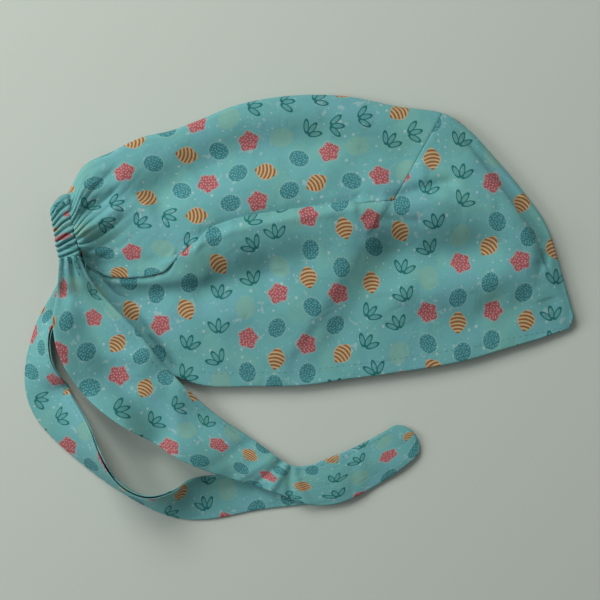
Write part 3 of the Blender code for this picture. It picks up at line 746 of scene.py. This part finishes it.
def handled_cloth():
    """Soft creases that washing and handling leave, and painted shade that darkens the cloth in their hollows."""
    tree, given, result = new_group(
        "Handled cloth",
        [("Cloth", "NodeSocketVector", None), ("Crease size", "NodeSocketFloat", 0.011)],
        [("Height", "NodeSocketFloat"), ("Shade", "NodeSocketFloat")],
    )
    size = added(tree, "ShaderNodeCombineXYZ", dict.fromkeys(range(3), given["Crease size"]))
    scaled = added(tree, "ShaderNodeVectorMath", {0: given["Cloth"], 1: size.outputs[0]}, operation="DIVIDE")
    creases = clouds(tree, scaled.outputs[0], 1.0, 3.0, distortion=0.7, dimensions="3D")
    put(creases - abs(creases - 0.5) * 0.8, result.inputs["Height"])
    # Painted shade: darker where the creases are low.
    put(creases * 0.16 + 0.92, result.inputs["Shade"])
    return tree


garden = garden_print()
weave = plain_weave()
handling = handled_cloth()


def cloth_material(name, finish):
    """A material with its shader's own values, and the place of each point on the flat cloth."""
    material = bpy.data.materials.new(name)
    material.use_nodes = True
    tree = material.node_tree
    shader = tree.nodes["Principled BSDF"]
    for label, value in finish.items():
        shader.inputs[label].default_value = value
    return material, tree, shader, added(tree, "ShaderNodeAttribute", attribute_name="cloth").outputs["Vector"]


def printed_cotton(name, fade_share=0.0, turn=0.0, shade=1.0):
    """Printed plain-weave cotton; a wrong side has the print showing through, faded."""
    finish = {
        "Roughness": 0.86, "Specular IOR Level": 0.25, "Sheen Weight": 0.18, "Sheen Roughness": 0.45,
        "Sheen Tint": (0.75, 0.92, 0.92, 1),
    }
    material, tree, shader, cloth = cloth_material(name, finish)
    grain = added(tree, "ShaderNodeVectorRotate", {"Vector": cloth, "Angle": turn}, rotation_type="Z_AXIS")
    grain = grain.outputs[0]
    pattern = added(tree, "ShaderNodeGroup", {"Cloth": grain, "Fade": fade_share}, node_tree=garden)
    threads = added(tree, "ShaderNodeGroup", {"Cloth": grain}, node_tree=weave).outputs
    creases = added(tree, "ShaderNodeGroup", {"Cloth": grain}, node_tree=handling).outputs
    # Painted shade: the weave's and the creases' darkening, and the shade argument, multiplied into the print's
    # colour.
    painted_shade = Drawn(threads["Shade"]) * creases["Shade"] * shade
    shaded_print = {0: pattern.outputs["Colour"], "Scale": painted_shade}
    put(added(tree, "ShaderNodeVectorMath", shaded_print, operation="SCALE").outputs[0], shader.inputs["Base Color"])
    creased = {"Strength": 0.35, "Distance": 0.0012, "Height": creases["Height"]}
    woven = {"Strength": 0.25, "Distance": 0.0001, "Height": threads["Height"]}
    woven["Normal"] = added(tree, "ShaderNodeBump", creased).outputs[0]
    put(added(tree, "ShaderNodeBump", woven).outputs[0], shader.inputs["Normal"])
    return material


crown_cotton = printed_cotton("crown_cotton", turn=CROWN_GRAIN)
crown_reverse = printed_cotton("crown_reverse", fade_share=SHOWN_THROUGH, turn=CROWN_GRAIN)

opening = front_opening()
crown_t = np.linspace(UNDER_CASING, FRONT_SEAM - opening, CROWN_COLUMNS + 1)
crown_sheet = panel(crown_t, top_rows(CROWN_ROWS, TURN_ROWS, UNDER_CROWN_ROWS), 1)
from_casing = past_casing(crown_sheet[1])
squeeze = GATHERED_PRINT * np.exp(-from_casing / GATHER_LENGTH)
crown_sheet[1][..., 1:2] += (crown_sheet[1][..., 1:2] - GATHER_MIDDLE) * squeeze
crown_front = tuple(grid[::-1] for grid in sideways(crown_sheet))
crown_patches = [
    crown_sheet,
    turned_under(crown_sheet, 1),
    turned_under(tuple(grid[::-1] for grid in crown_sheet), -1),
    turned_under(crown_front, 1),
]
crown = cotton_piece("crown_cloth", sew("crown_cloth", crown_patches), [crown_cotton, crown_reverse], COTTON)
crown.location = cap_corner
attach(crown, "root")
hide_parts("crown")


# The band is the side and front panel of the same cotton: near side, round the forehead fold, far side. Its
# seam with the crown is turned under, and its lower edge is the brim, hemmed by folding the cloth inside.
BAND_COLUMNS = 150  # up to the front seam, and in front of it
FRONT_COLUMNS = 76
BAND_ROWS = 66
UNDER_BAND_ROWS = 18
HEM_RADIUS = 0.00045
HEM_STEPS = 6
HEM_ROWS = 6  # rows of the grid that the hem takes in
THREAD = 0.00026
THREAD_SIDES = 6
STITCH_STEP = 0.0032
STITCH_LENGTH = 0.0023
STITCH_SPOTS = 6  # points along one stitch
STITCH_ARCH = 0.8  # how far its middle stands out, and its ends sink in, as shares of the thread
STITCH_SINK = 0.4
PLY_PITCH = 0.0005
# The darker colour is painted shade in the grooves between the plies, the lighter one the thread's own colour.
PLY_SHADE_AND_COLOUR = (0.09, 0.29, 0.30, 1), (0.20, 0.47, 0.47, 1)

band_cotton = printed_cotton("band_cotton")
band_reverse = printed_cotton("band_reverse", fade_share=SHOWN_THROUGH)

band_t = np.concatenate([
    np.linspace(0, FRONT_SEAM, BAND_COLUMNS, endpoint=False),
    np.linspace(FRONT_SEAM + opening, len(SECTIONS) - 1, FRONT_COLUMNS + 1),
])
band_rows = (
    [(i / BAND_ROWS, 0.0) for i in range(BAND_ROWS)]
    + top_rows(CROWN_ROWS, TURN_ROWS, UNDER_CROWN_ROWS)
    + [(3 + i / UNDER_BAND_ROWS, 0.0) for i in range(1, UNDER_BAND_ROWS + 1)]
)
upper_seam = BAND_ROWS
lower_seam = len(band_rows) - 1 - UNDER_BAND_ROWS
band_sheet = panel(band_t, band_rows, -1)
shown = np.ones((len(band_rows) - 1, len(band_t) - 1), dtype=bool)
shown[upper_seam:lower_seam, :BAND_COLUMNS] = False
seam_side = tuple(grid[upper_seam::-1, :BAND_COLUMNS + 1] for grid in band_sheet)
far_seam_side = tuple(grid[lower_seam:, :BAND_COLUMNS + 1] for grid in band_sheet)
front_side = tuple(grid[:, upper_seam:lower_seam + 1] for grid in sideways(
    tuple(grid[:, BAND_COLUMNS:] for grid in band_sheet)
))


def hemmed(patch, inward, rows):
    """The hem at a patch's first row: it turns right under and lies against the cloth's inside."""
    turn = turned_under(patch, inward, HEM_RADIUS, math.pi, HEM_STEPS)
    shift = turn[0][-1] - turn[0][0]
    inside = patch[0][: rows + 1] + shift
    flat = turn[1][-1] - (patch[1][: rows + 1] - patch[1][0])
    return np.concatenate([turn[0], inside[1:]]), np.concatenate([turn[1], flat[1:]])


def stitched(name, rows, normal_side, cotton, step=STITCH_STEP, length=STITCH_LENGTH):
    """Stitches of thread along the first of two neighbouring rows of points, on the face that looks up."""
    line, beside = rows
    steps = np.concatenate([[0], np.cumsum(np.linalg.norm(np.diff(line, axis=0), axis=1))])
    up = np.cross(np.gradient(line, axis=0), beside - line) * normal_side
    up = up / length_of(up)
    patches = []
    turns = np.linspace(0, 2 * math.pi, THREAD_SIDES + 1)
    arch = np.sin(math.pi * np.linspace(0, 1, STITCH_SPOTS))[:, None]
    radius = THREAD / 2 * np.sqrt(np.maximum(arch, 0.0))[:, :, None]
    for start in np.arange(step, steps[-1] - step, step):
        spots = start + np.linspace(0, length, STITCH_SPOTS)
        middle = np.stack([np.interp(spots, steps, line[:, k]) for k in range(3)], axis=-1)
        rise = np.stack([np.interp(spots, steps, up[:, k]) for k in range(3)], axis=-1)
        along = np.gradient(middle, axis=0)
        across = np.cross(along, rise)
        across = across / length_of(across)
        middle = middle + rise * (cotton / 2 + THREAD * STITCH_ARCH * (arch - STITCH_SINK))
        round_them = across[:, None] * np.cos(turns)[None, :, None] + rise[:, None] * np.sin(turns)[None, :, None]
        flat = np.stack(np.broadcast_arrays(spots[:, None], THREAD * turns[None]), axis=-1)
        patches.append((middle[:, None] + round_them * radius, flat))
    piece = cotton_piece(name, sew(name, patches), [stitch_thread], 0.0)
    piece.location = cap_corner
    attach(piece, "root")
    return piece


def twisted_thread():
    """Matching sewing thread: two plies twisted, a little lighter and glossier than the cloth, with painted shade
    in the grooves between the plies.
    """
    material, tree, shader, cloth = cloth_material("stitch_thread", {"Roughness": 0.6, "Specular IOR Level": 0.35})
    split = added(tree, "ShaderNodeSeparateXYZ", {0: cloth})
    twist = Drawn(split.outputs[0]) + split.outputs[1]
    plies = (twist * (2 * math.pi / PLY_PITCH)).by("SINE")
    # Painted shade: darker in the grooves between the plies.
    put(laid_over(fade(plies, -0.6, 0.6), *PLY_SHADE_AND_COLOUR), shader.inputs["Base Color"])
    bump = added(tree, "ShaderNodeBump", {"Strength": 0.3, "Distance": 0.00005, "Height": plies})
    put(bump.outputs[0], shader.inputs["Normal"])
    return material


stitch_thread = twisted_thread()

band_patches = [
    band_sheet,
    turned_under(seam_side, -1),
    turned_under(far_seam_side, 1),
    turned_under(front_side, -1),
    hemmed(band_sheet, 1, HEM_ROWS),
]
band = cotton_piece(
    "band_cloth", sew("band_cloth", band_patches, keep=shown), [band_cotton, band_reverse], COTTON
)
band.location = cap_corner
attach(band, "root")
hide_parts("band")
brim_stitches = stitched("brim_stitches", band_sheet[0][HEM_ROWS - 1:HEM_ROWS + 1], 1, COTTON)


# The casing is a channel of the crown's own cotton, folded double round an elastic that gathers it into
# ruffles. It runs from the near tie over the nape fold to the far tie.
CASING_WALL = 0.0026
CASING_RIB = 0.0013
PLAIN_END = 0.06
CASING_TURN = 0.0058
CASING_SEAT = 0.0029
SCALLOP = 0.035  # of the nape edge, as a share of the width, and from where across it grows
SCALLOP_FROM = 0.6
CHANNEL_LENGTH = 0.110
CASING_FULLNESS = 2.1  # length of the cloth in the gathered channel, as a multiple of the channel's
CASING_END = 0.012  # share of the channel that its rounded end takes, and the least of the wall there, squared
CASING_END_WALL = 0.0004
CASING_STITCHED = (0.02, 0.48)  # from where to where, and the place across of the stitches and beside them
CASING_STITCH_LINE = (0.13, 0.15)
CASING_STITCH_POINTS = 160
CASING_STITCH_STEP = 0.0030
CASING_STITCH_LENGTH = 0.0020
CASING_COLUMNS = 26
CASING_EDGE_COLUMNS = 6
ROWS_PER_RIB = 16
Channel = namedtuple("Channel", "end_x end_y top_x top_y")
CHANNELS = [
    Channel(0.0635, 0.418, 0.0400, 0.645),
    Channel(0.0430, 0.421, 0.0205, 0.630),
    Channel(0.0220, 0.424, 0.0045, 0.592),
]

# The casing's cotton is the crown's cotton made darker, as painted shade for the gathered casing.
casing_cotton = printed_cotton("casing_cotton", turn=CROWN_GRAIN, shade=0.92)


def casing_surface(across, share, thick):
    """Points of the channel at a height over its middle layer."""
    channel = through(CHANNELS, np.linspace(0, 1, len(CHANNELS)), across)
    size = np.array([CAP_LENGTH, CAP_HEIGHT])
    end = channel[..., 0:2] * size
    top = channel[..., 2:4] * size
    outward = (top - end) / length_of(top - end)
    flat = length_of(top - end)[..., 0] - CASING_TURN
    arc = math.pi * CASING_TURN
    run = share * (2 * flat + arc)
    ends = np.minimum(np.minimum(share, 1 - share), PLAIN_END) / PLAIN_END
    wave = CASING_RIB * ruffle(across, share) * ends + thick
    angle = np.clip((run - flat) / CASING_TURN, 0, math.pi)
    bend = CASING_TURN + wave
    along = np.where(run < flat, run, np.where(run > flat + arc, 2 * flat + arc - run, flat))
    place = end + outward * (along + bend * np.sin(angle))[..., None]
    height = CASING_SEAT + CASING_TURN + bend * np.cos(angle)
    return np.concatenate([place, height[..., None]], axis=-1)


casing_share = np.linspace(0, 1, 2 * CASING_RIBS * ROWS_PER_RIB + 1)
half_wall = CASING_WALL / 2
side_angles = np.linspace(0, math.pi, CASING_EDGE_COLUMNS + 2)[1:-1]
edge_round = half_wall / CASING_WIDTH  # share of the channel's width that its rounded edge takes
casing_profile = (
    [(a, half_wall) for a in np.linspace(edge_round, 1 - edge_round, CASING_COLUMNS)]
    + [(1 - edge_round + edge_round * math.sin(a), half_wall * math.cos(a)) for a in side_angles]
    + [(a, -half_wall) for a in np.linspace(1 - edge_round, edge_round, CASING_COLUMNS)]
    + [(edge_round - edge_round * math.sin(a), -half_wall * math.cos(a)) for a in side_angles]
)
casing_profile.append(casing_profile[0])
end_round = np.sqrt(np.clip(np.minimum(casing_share, 1 - casing_share) / CASING_END, CASING_END_WALL, 1))
cloth_run = casing_share * CASING_FULLNESS * CHANNEL_LENGTH
casing_rows = []
casing_flat = []
walked = 0.0
last = None
for across, thick in casing_profile:
    here = np.full_like(casing_share, across)
    scallop = SCALLOP * ruffle(here, casing_share) * smooth_step(SCALLOP_FROM, 1.0, across)
    casing_rows.append(casing_surface(here + scallop, casing_share, thick * end_round))
    walked += 0.0 if last is None else math.hypot((across - last[0]) * CASING_WIDTH, thick - last[1])
    last = (across, thick)
    casing_flat.append(np.stack([np.full_like(cloth_run, walked), cloth_run], axis=-1))
casing_mesh = sew("casing_cloth", [(np.stack(casing_rows), np.stack(casing_flat))])
casing = cotton_piece("casing_cloth", casing_mesh, [casing_cotton], 0.0)
casing.location = cap_corner
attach(casing, "root")
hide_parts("casing")
stitch_share = np.linspace(*CASING_STITCHED, CASING_STITCH_POINTS)
stitch_rows = [
    casing_surface(np.full_like(stitch_share, across), stitch_share, half_wall) for across in CASING_STITCH_LINE
]
casing_stitches = stitched(
    "casing_stitches", stitch_rows, 1, 0.0, step=CASING_STITCH_STEP, length=CASING_STITCH_LENGTH
)


# The far tie is a strip of the same cotton, folded lengthwise. It leaves the casing's far end, goes round a
# bend that stands on its folded edge, and its open edge, two hemmed layers, looks up.
TIE_COTTON = 0.00045
FAR_TIE_LENGTH = 0.275
FAR_TIE_WIDTH = 0.024
TIE_STEP = 0.0013
TIE_CELLS = 22
FOLD_CELLS = 5
STEPS_BETWEEN = 4
ROOT_TUCK = 0.004  # length of a tie inside the casing
LAYERS_APART = 0.0009
SLIT = 0.0016  # between the layers at the open edge
CURL = 0.22  # how far a standing tie curls: its tilt is less at the folded edge and more at the open one
SWAY = 0.10  # how far its open edge sways, in radians, and over which length
SWAY_LENGTH = 0.021
PROFILE_STEPS = 40  # across the tie, where its lean is worked out
SLIT_FROM = 0.6  # where across the slit opens, and the share of it that a lying tie keeps
LYING_SLIT = 0.4
TIE_SWELL = 0.0010  # of a lying tie's layers, and how much less a standing one has
STANDING_SWELL = 0.7
FAR_RIPPLE = 0.0006
FAR_RIPPLE_LENGTH = 0.0085
CLEAR_OF_TABLE = 0.0003
TIE_GRAIN = math.radians(12)
STITCHED_ROWS = (2, 3)  # beside the open edge: the row with the stitches and its neighbour
Station = namedtuple("Station", "place heading width tilt")
FAR_TIE = [
    Station(0.00, -96, 0.50, 0),
    Station(0.05, -118, 0.40, 2),
    Station(0.09, -120, 0.42, 12),
    Station(0.12, -112, 0.52, 38),
    Station(0.15, -107, 0.62, 42),
    Station(0.19, -102, 0.80, 38),
    Station(0.235, -91, 0.96, 24),
    Station(0.28, -74, 1.00, 8),
    Station(0.34, -51, 1.00, 14),
    Station(0.40, -42, 1.00, 30),
    Station(0.47, -38, 1.00, 58),
    Station(0.54, -33, 1.00, 74),
    Station(0.60, -28, 1.00, 70),
    Station(0.65, -19, 1.00, 48),
    Station(0.69, -5, 1.00, 24),
    Station(0.74, 6, 0.98, 4),
    Station(0.79, 13, 0.95, 0),
    Station(0.86, 7, 0.90, 0),
    Station(0.94, 5, 0.85, 0),
    Station(1.00, 8, 0.60, 0),
]
FAR_ROOT = (0.022, 0.405)

tie_cotton = printed_cotton("tie_cotton", turn=TIE_GRAIN)
tie_reverse = printed_cotton("tie_reverse", fade_share=SHOWN_THROUGH, turn=TIE_GRAIN)


def tie_path(stations, root, length):
    """Steps along a tie from inside the casing: plan places, headings, widths and tilts."""
    count = round((length + ROOT_TUCK) / TIE_STEP)
    fine = np.linspace(-ROOT_TUCK / length, 1, count * STEPS_BETWEEN + 1)
    columns = through(stations, [station.place for station in stations], fine)
    heading = np.radians(columns[:, 1])
    ahead = np.stack([np.cos(heading), np.sin(heading)], axis=-1)
    steps = ahead * (length + ROOT_TUCK) / (len(fine) - 1)
    spots = np.concatenate([np.zeros((1, 2)), np.cumsum(steps[:-1], axis=0)]) - ahead[0] * ROOT_TUCK
    spots = spots + np.array(root) * np.array([CAP_LENGTH, CAP_HEIGHT])
    keep = slice(None, None, STEPS_BETWEEN)
    tilt = np.radians(np.maximum(columns[keep, 3], 0.0))
    return spots[keep], heading[keep], columns[keep, 2], tilt


def folded_strip(cells, fold_cells):
    """Round a folded strip, from the open edge of its upper layer over the fold to that of its lower one: the
    share across, the height between the layers from 1 to -1, and the share of the cut cloth's width."""
    over = np.linspace(1, 0, cells + 1)
    angles = np.linspace(0, math.pi, fold_cells + 2)[1:-1]
    across = np.concatenate([over, 0 * angles, over[::-1]])
    height = np.concatenate([np.ones(cells + 1), np.cos(angles), -np.ones(cells + 1)])
    bow = np.concatenate([np.zeros(cells + 1), -np.sin(angles), np.zeros(cells + 1)])
    cloth = np.concatenate([over, 0 * angles, -over[::-1]])
    return across, height, bow, cloth


far_spots, far_heading, far_width, far_tilt = tie_path(FAR_TIE, FAR_ROOT, FAR_TIE_LENGTH)
across, height, bow, cut = folded_strip(TIE_CELLS, FOLD_CELLS)
run = np.linspace(-ROOT_TUCK, FAR_TIE_LENGTH, len(far_spots))
inward = np.stack([-np.sin(far_heading), np.cos(far_heading)], axis=-1)
width = far_width * FAR_TIE_WIDTH
fine_across = np.linspace(0, 1, PROFILE_STEPS + 1)
lean = far_tilt[:, None] * (1 + CURL * (2 * fine_across - 1))
lean = lean + SWAY * np.sin(run / SWAY_LENGTH)[:, None] * fine_across * np.sin(far_tilt)[:, None]
out_steps = np.cos(lean) / PROFILE_STEPS * width[:, None]
up_steps = np.sin(lean) / PROFILE_STEPS * width[:, None]
out = np.concatenate([np.zeros((len(run), 1)), np.cumsum(out_steps[:, 1:], axis=1)], axis=1)
up = np.concatenate([np.zeros((len(run), 1)), np.cumsum(up_steps[:, 1:], axis=1)], axis=1)
far_rows = []
far_flat = []
standing = np.sin(far_tilt)
lowest = TIE_COTTON / 2 + LAYERS_APART / 2 + CLEAR_OF_TABLE
for a, h, b, c in zip(across, height, bow, cut):
    slot = int(round(a * PROFILE_STEPS))
    here_lean = lean[:, slot]
    opened = smooth_step(SLIT_FROM, 1.0, a) * (LYING_SLIT + (1 - LYING_SLIT) * standing)
    apart = LAYERS_APART + (SLIT - LAYERS_APART) * opened
    apart = apart + TIE_SWELL * math.sin(math.pi * a) * (1 - STANDING_SWELL * standing)
    off = h * apart / 2
    plan_out = out[:, slot] + b * LAYERS_APART / 2 - np.sin(here_lean) * off
    z = up[:, slot] + np.cos(here_lean) * off
    ripple = FAR_RIPPLE * np.sin(run / FAR_RIPPLE_LENGTH + 3 * a) * a * (1 - standing)
    where = far_spots + inward * plan_out[:, None]
    z = np.maximum(z + lowest + ripple, TIE_COTTON / 2 + (1 + h) / 2 * LAYERS_APART)
    far_rows.append(np.concatenate([where, z[:, None]], axis=-1))
    far_flat.append(np.stack([run, np.full_like(run, c * FAR_TIE_WIDTH)], axis=-1))
tie_far_mesh = sew("tie_far_cloth", [(np.stack(far_rows), np.stack(far_flat))])
tie_far = cotton_piece("tie_far_cloth", tie_far_mesh, [tie_cotton, tie_reverse], TIE_COTTON)
tie_far.location = cap_corner
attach(tie_far, "root")
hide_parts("tie_far")
far_stitched = [far_rows[row][8:-6] for row in STITCHED_ROWS]
far_stitches = stitched("far_tie_stitches", far_stitched, -1, TIE_COTTON)


# The near tie is the other folded strip. It is gathered into the casing's near end, comes down over the
# corner of the cap, crosses the far tie, crumples where it turns, and ends in its rounded tip.
NEAR_TIE_LENGTH = 0.254
NEAR_TIE_WIDTH = 0.044
CLEARANCE = 0.0004
DRAPE_SLOPE = 0.55
DRAPE_LEVEL = 0.0075
DRAPE_REACH = 0.024
ROOT_BLEND = 0.016
MAP_STEP = 0.0015  # cells of the map of what lies under the tie
SMOOTHINGS = 16
MAP_MARGIN = 0.03
TIP_LENGTH = 0.008
TIP_END = 0.995  # of the tip's round, which leaves a little width
ROOT_FADE = 0.022  # how soon the pleats at the casing die out, their height, how many, and their slant
ROOT_PLEAT = 0.0009
ROOT_PLEATS = 2.6
ROOT_PLEAT_SLANT = 0.02
NEAR_SWELL = 0.0007
LOFT = 0.0006  # by which the tie lies loosely
# Ripples of the near tie: height, length, and how far they lag across it and at the start
Ripple = namedtuple("Ripple", "height length lag start")
NEAR_RIPPLES = [Ripple(0.0005, 0.0115, 2.5, 0.0), Ripple(0.0004, 0.0047, 5.0, 1.0)]
UPPER_EDGE = 0.40  # how much of the width the upper edge's lift takes in
LOWER_FALL = 0.7  # how much less the upper edge has of the lower edge's lift


def upper_edge(across):
    return smooth_step(UPPER_EDGE, 0.0, 1.0 - across)


def lower_edge(across):
    return 1 - LOWER_FALL * across


# Where the tie stands off what is under it: which edge of it, and the place, length and height
Lift = namedtuple("Lift", "edge place length height")
LIFTS = [
    Lift(upper_edge, 0.038, 0.038, 0.0036),
    Lift(lower_edge, 0.115, 0.046, 0.0045),
]
NEAR_TIE = [
    Station(0.00, -84, 0.28, 0),
    Station(0.03, -81, 0.38, 0),
    Station(0.07, -78, 0.56, 0),
    Station(0.12, -68, 0.78, 0),
    Station(0.18, -57, 0.95, 0),
    Station(0.24, -50, 1.00, 0),
    Station(0.30, -42, 0.93, 0),
    Station(0.37, -38, 0.82, 0),
    Station(0.45, -35, 0.70, 0),
    Station(0.54, -27, 0.60, 0),
    Station(0.64, -27, 0.44, 0),
    Station(0.69, -20, 0.37, 0),
    Station(0.74, -3, 0.48, 0),
    Station(0.79, 17, 0.56, 0),
    Station(0.85, 26, 0.55, 0),
    Station(0.93, 33, 0.50, 0),
    Station(0.98, 39, 0.47, 0),
    Station(1.00, 40, 0.45, 0),
]
# Creases across the near tie: place and slant along it, half width and height in metres
Crease = namedtuple("Crease", "place slant width height")
TIE_CREASES = [
    Crease(0.215, 0.9, 0.0060, 0.0010),
    Crease(0.300, 0.5, 0.0050, -0.0009),
    Crease(0.420, -0.7, 0.0050, 0.0008),
    Crease(0.560, 0.6, 0.0035, -0.0008),
    Crease(0.625, 0.6, 0.0024, 0.0009),
    Crease(0.652, 0.4, 0.0016, -0.0013),
    Crease(0.676, 0.2, 0.0018, 0.0015),
    Crease(0.698, -0.3, 0.0014, -0.0010),
    Crease(0.718, -0.6, 0.0022, 0.0009),
    Crease(0.860, 0.5, 0.0040, 0.0006),
]
NEAR_ROOT = (0.045, 0.413)


def height_map(pieces, low, high):
    """Heights of the highest of the pieces, or of the table, over a grid of the plan."""
    graph = bpy.context.evaluated_depsgraph_get()
    trees = [(BVHTree.FromObject(piece, graph), piece.matrix_world.translation) for piece in pieces]
    xs = np.arange(low[0], high[0], MAP_STEP)
    ys = np.arange(low[1], high[1], MAP_STEP)
    heights = np.zeros((len(xs), len(ys)))
    for i, x in enumerate(xs):
        for j, y in enumerate(ys):
            for tree, place in trees:
                hit = tree.ray_cast(Vector((x, y, 1.0)) - place, Vector((0, 0, -1)))[0]
                if hit:
                    heights[i, j] = max(heights[i, j], hit.z + place.z)
    return heights


def draped(heights):
    """Heights of a cloth over a map, which stays level a little way out and then falls at DRAPE_SLOPE."""
    reach = int(DRAPE_REACH / MAP_STEP)
    best = heights.copy()
    wide = np.pad(heights, reach)
    for i in range(-reach, reach + 1):
        for j in range(-reach, reach + 1):
            away = math.hypot(i, j) * MAP_STEP
            fall = DRAPE_SLOPE * max(away - DRAPE_LEVEL, 0.0)
            moved = wide[reach + i:reach + i + len(heights), reach + j:reach + j + heights.shape[1]]
            if away <= DRAPE_REACH:
                best = np.maximum(best, moved - fall)
    for _ in range(SMOOTHINGS):
        wide = np.pad(best, 1, mode="edge")
        best = (wide[:-2, 1:-1] + wide[2:, 1:-1] + wide[1:-1, :-2] + wide[1:-1, 2:] + 2 * best) / 6
    return best


def read_map(heights, low, places):
    """Heights of a map at plan places, even between its cells."""
    at = (places - np.array(low)) / MAP_STEP
    i = np.clip(np.floor(at).astype(int), 0, np.array(heights.shape) - 2)
    a = np.clip(at - i, 0, 1)
    column, row = i[..., 0], i[..., 1]
    in_x, in_y = a[..., 0], a[..., 1]
    here = heights[column, row] * (1 - in_y) + heights[column, row + 1] * in_y
    beside = heights[column + 1, row] * (1 - in_y) + heights[column + 1, row + 1] * in_y
    return here * (1 - in_x) + beside * in_x


near_spots, near_heading, near_width, _ = tie_path(NEAR_TIE, NEAR_ROOT, NEAR_TIE_LENGTH)
run = np.linspace(-ROOT_TUCK, NEAR_TIE_LENGTH, len(near_spots))
inward = np.stack([-np.sin(near_heading), np.cos(near_heading)], axis=-1)
tip = np.clip((run - NEAR_TIE_LENGTH + TIP_LENGTH) / TIP_LENGTH, 0, TIP_END)
width = near_width * NEAR_TIE_WIDTH * np.sqrt(1 - tip**2)
bpy.context.view_layer.update()
corner = np.array(cap_corner[:2])
low = near_spots.min(axis=0) - MAP_MARGIN + corner
high = near_spots.max(axis=0) + MAP_MARGIN + corner
bare = height_map([crown, band, tie_far], low, high)
resting = draped(bare)
across, height, bow, cut = folded_strip(TIE_CELLS, FOLD_CELLS)
sewn_height = CASING_SEAT + 2 * CASING_TURN - CASING_WALL
root_fade = np.exp(-run / ROOT_FADE)
near_rows = []
near_flat = []
for a, h, b, c in zip(across, height, bow, cut):
    side = (a - 0.5) * width + b * LAYERS_APART / 2
    where = near_spots + inward * side[:, None]
    ground = read_map(resting, low, where + corner)
    least = read_map(bare, low, where + corner) + CLEARANCE + TIE_COTTON / 2
    least = least + (1 + h) / 2 * LAYERS_APART
    lying = ground + CLEARANCE + TIE_COTTON + LAYERS_APART / 2
    pleated = ROOT_PLEAT * root_fade * np.cos(2 * math.pi * ROOT_PLEATS * a + run / ROOT_PLEAT_SLANT)
    lifted = 0.0
    for lift in LIFTS:
        lifted = lifted + lift.height * lift.edge(a) * np.exp(-(((run - lift.place) / lift.length) ** 2))
    for crease in TIE_CREASES:
        away = run - crease.place * NEAR_TIE_LENGTH - crease.slant * side
        pleated = pleated + crease.height * np.exp(-((away / crease.width) ** 2))
    ripple = sum(wave.height * np.sin(run / wave.length + wave.lag * a + wave.start) for wave in NEAR_RIPPLES)
    puffed = NEAR_SWELL * math.sin(math.pi * a) * (1 + h) / 2
    apart = h * LAYERS_APART / 2
    sewn = sewn_height - np.maximum(sewn_height - lying, 0.0) * smooth_step(0, ROOT_BLEND, run)
    z = np.maximum(lying, sewn) + apart + puffed + pleated + lifted + ripple * (1 - tip) + LOFT
    z = np.maximum(z, least)
    near_rows.append(np.concatenate([where, z[:, None]], axis=-1))
    near_flat.append(np.stack([run, np.full_like(run, c * NEAR_TIE_WIDTH)], axis=-1))
tie_near_mesh = sew("tie_near_cloth", [(np.stack(near_rows), np.stack(near_flat))])
tie_near = cotton_piece("tie_near_cloth", tie_near_mesh, [tie_cotton, tie_reverse], TIE_COTTON)
tie_near.location = cap_corner
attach(tie_near, "root")
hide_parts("tie_near")
near_stitched = [near_rows[row][8:-8] for row in STITCHED_ROWS]
near_stitches = stitched("near_tie_stitches", near_stitched, -1, TIE_COTTON)


# The table is plain and pale, and light falls softly from the upper left, as in the photograph, which looks
# straight down.
VIEW_WIDTH = 0.330  # of the table across the picture
VIEW_CENTRE = (-0.0005, 0.00375)
LENS = 100.0
CAP_MIDDLE = 0.008
TABLE_SIZE = 6.0

table = bpy.data.materials.new("pale_table")
table.use_nodes = True
board = table.node_tree.nodes["Principled BSDF"]
board.inputs["Base Color"].default_value = (0.55, 0.60, 0.545, 1)
board.inputs["Roughness"].default_value = 0.75
board.inputs["Specular IOR Level"].default_value = 0.2
floor_mesh = bpy.data.meshes.new("table")
half = TABLE_SIZE / 2
floor_mesh.from_pydata([(-half, -half, 0), (half, -half, 0), (half, half, 0), (-half, half, 0)], [], [(0, 1, 2, 3)])
floor_mesh.materials.append(table)
floor = bpy.data.objects.new("table", floor_mesh)
bpy.context.scene.collection.objects.link(floor)


def soft_light(name, place, size, power, colour):
    """A square soft box that looks at the cap."""
    lamp = bpy.data.lights.new(name, "AREA")
    lamp.shape = "SQUARE"
    lamp.size = size
    lamp.energy = power
    lamp.color = colour
    holder = bpy.data.objects.new(name, lamp)
    holder.location = place
    holder.rotation_euler = (-Vector(place)).to_track_quat("-Z", "Y").to_euler()
    bpy.context.scene.collection.objects.link(holder)


soft_light("key", (-0.56, 0.98, 0.96), 0.80, 12.8, (1.0, 0.99, 0.96))
soft_light("side window", (-1.20, 0.20, 0.74), 0.70, 9.0, (0.98, 0.99, 1.0))
soft_light("fill", (0.9, -0.7, 1.3), 1.4, 1.5, (0.94, 0.98, 1.0))
world = bpy.data.worlds.new("studio")
world.use_nodes = True
world.node_tree.nodes["Background"].inputs["Color"].default_value = (0.93, 0.97, 0.95, 1)
world.node_tree.nodes["Background"].inputs["Strength"].default_value = 0.17
bpy.context.scene.world = world
bpy.context.scene.view_settings.view_transform = "Standard"

eye = bpy.data.cameras.new("camera")
eye.lens = LENS
camera = bpy.data.objects.new("camera", eye)
camera.location = (*VIEW_CENTRE, CAP_MIDDLE + VIEW_WIDTH * LENS / eye.sensor_width)
bpy.context.scene.collection.objects.link(camera)
bpy.context.scene.camera = camera
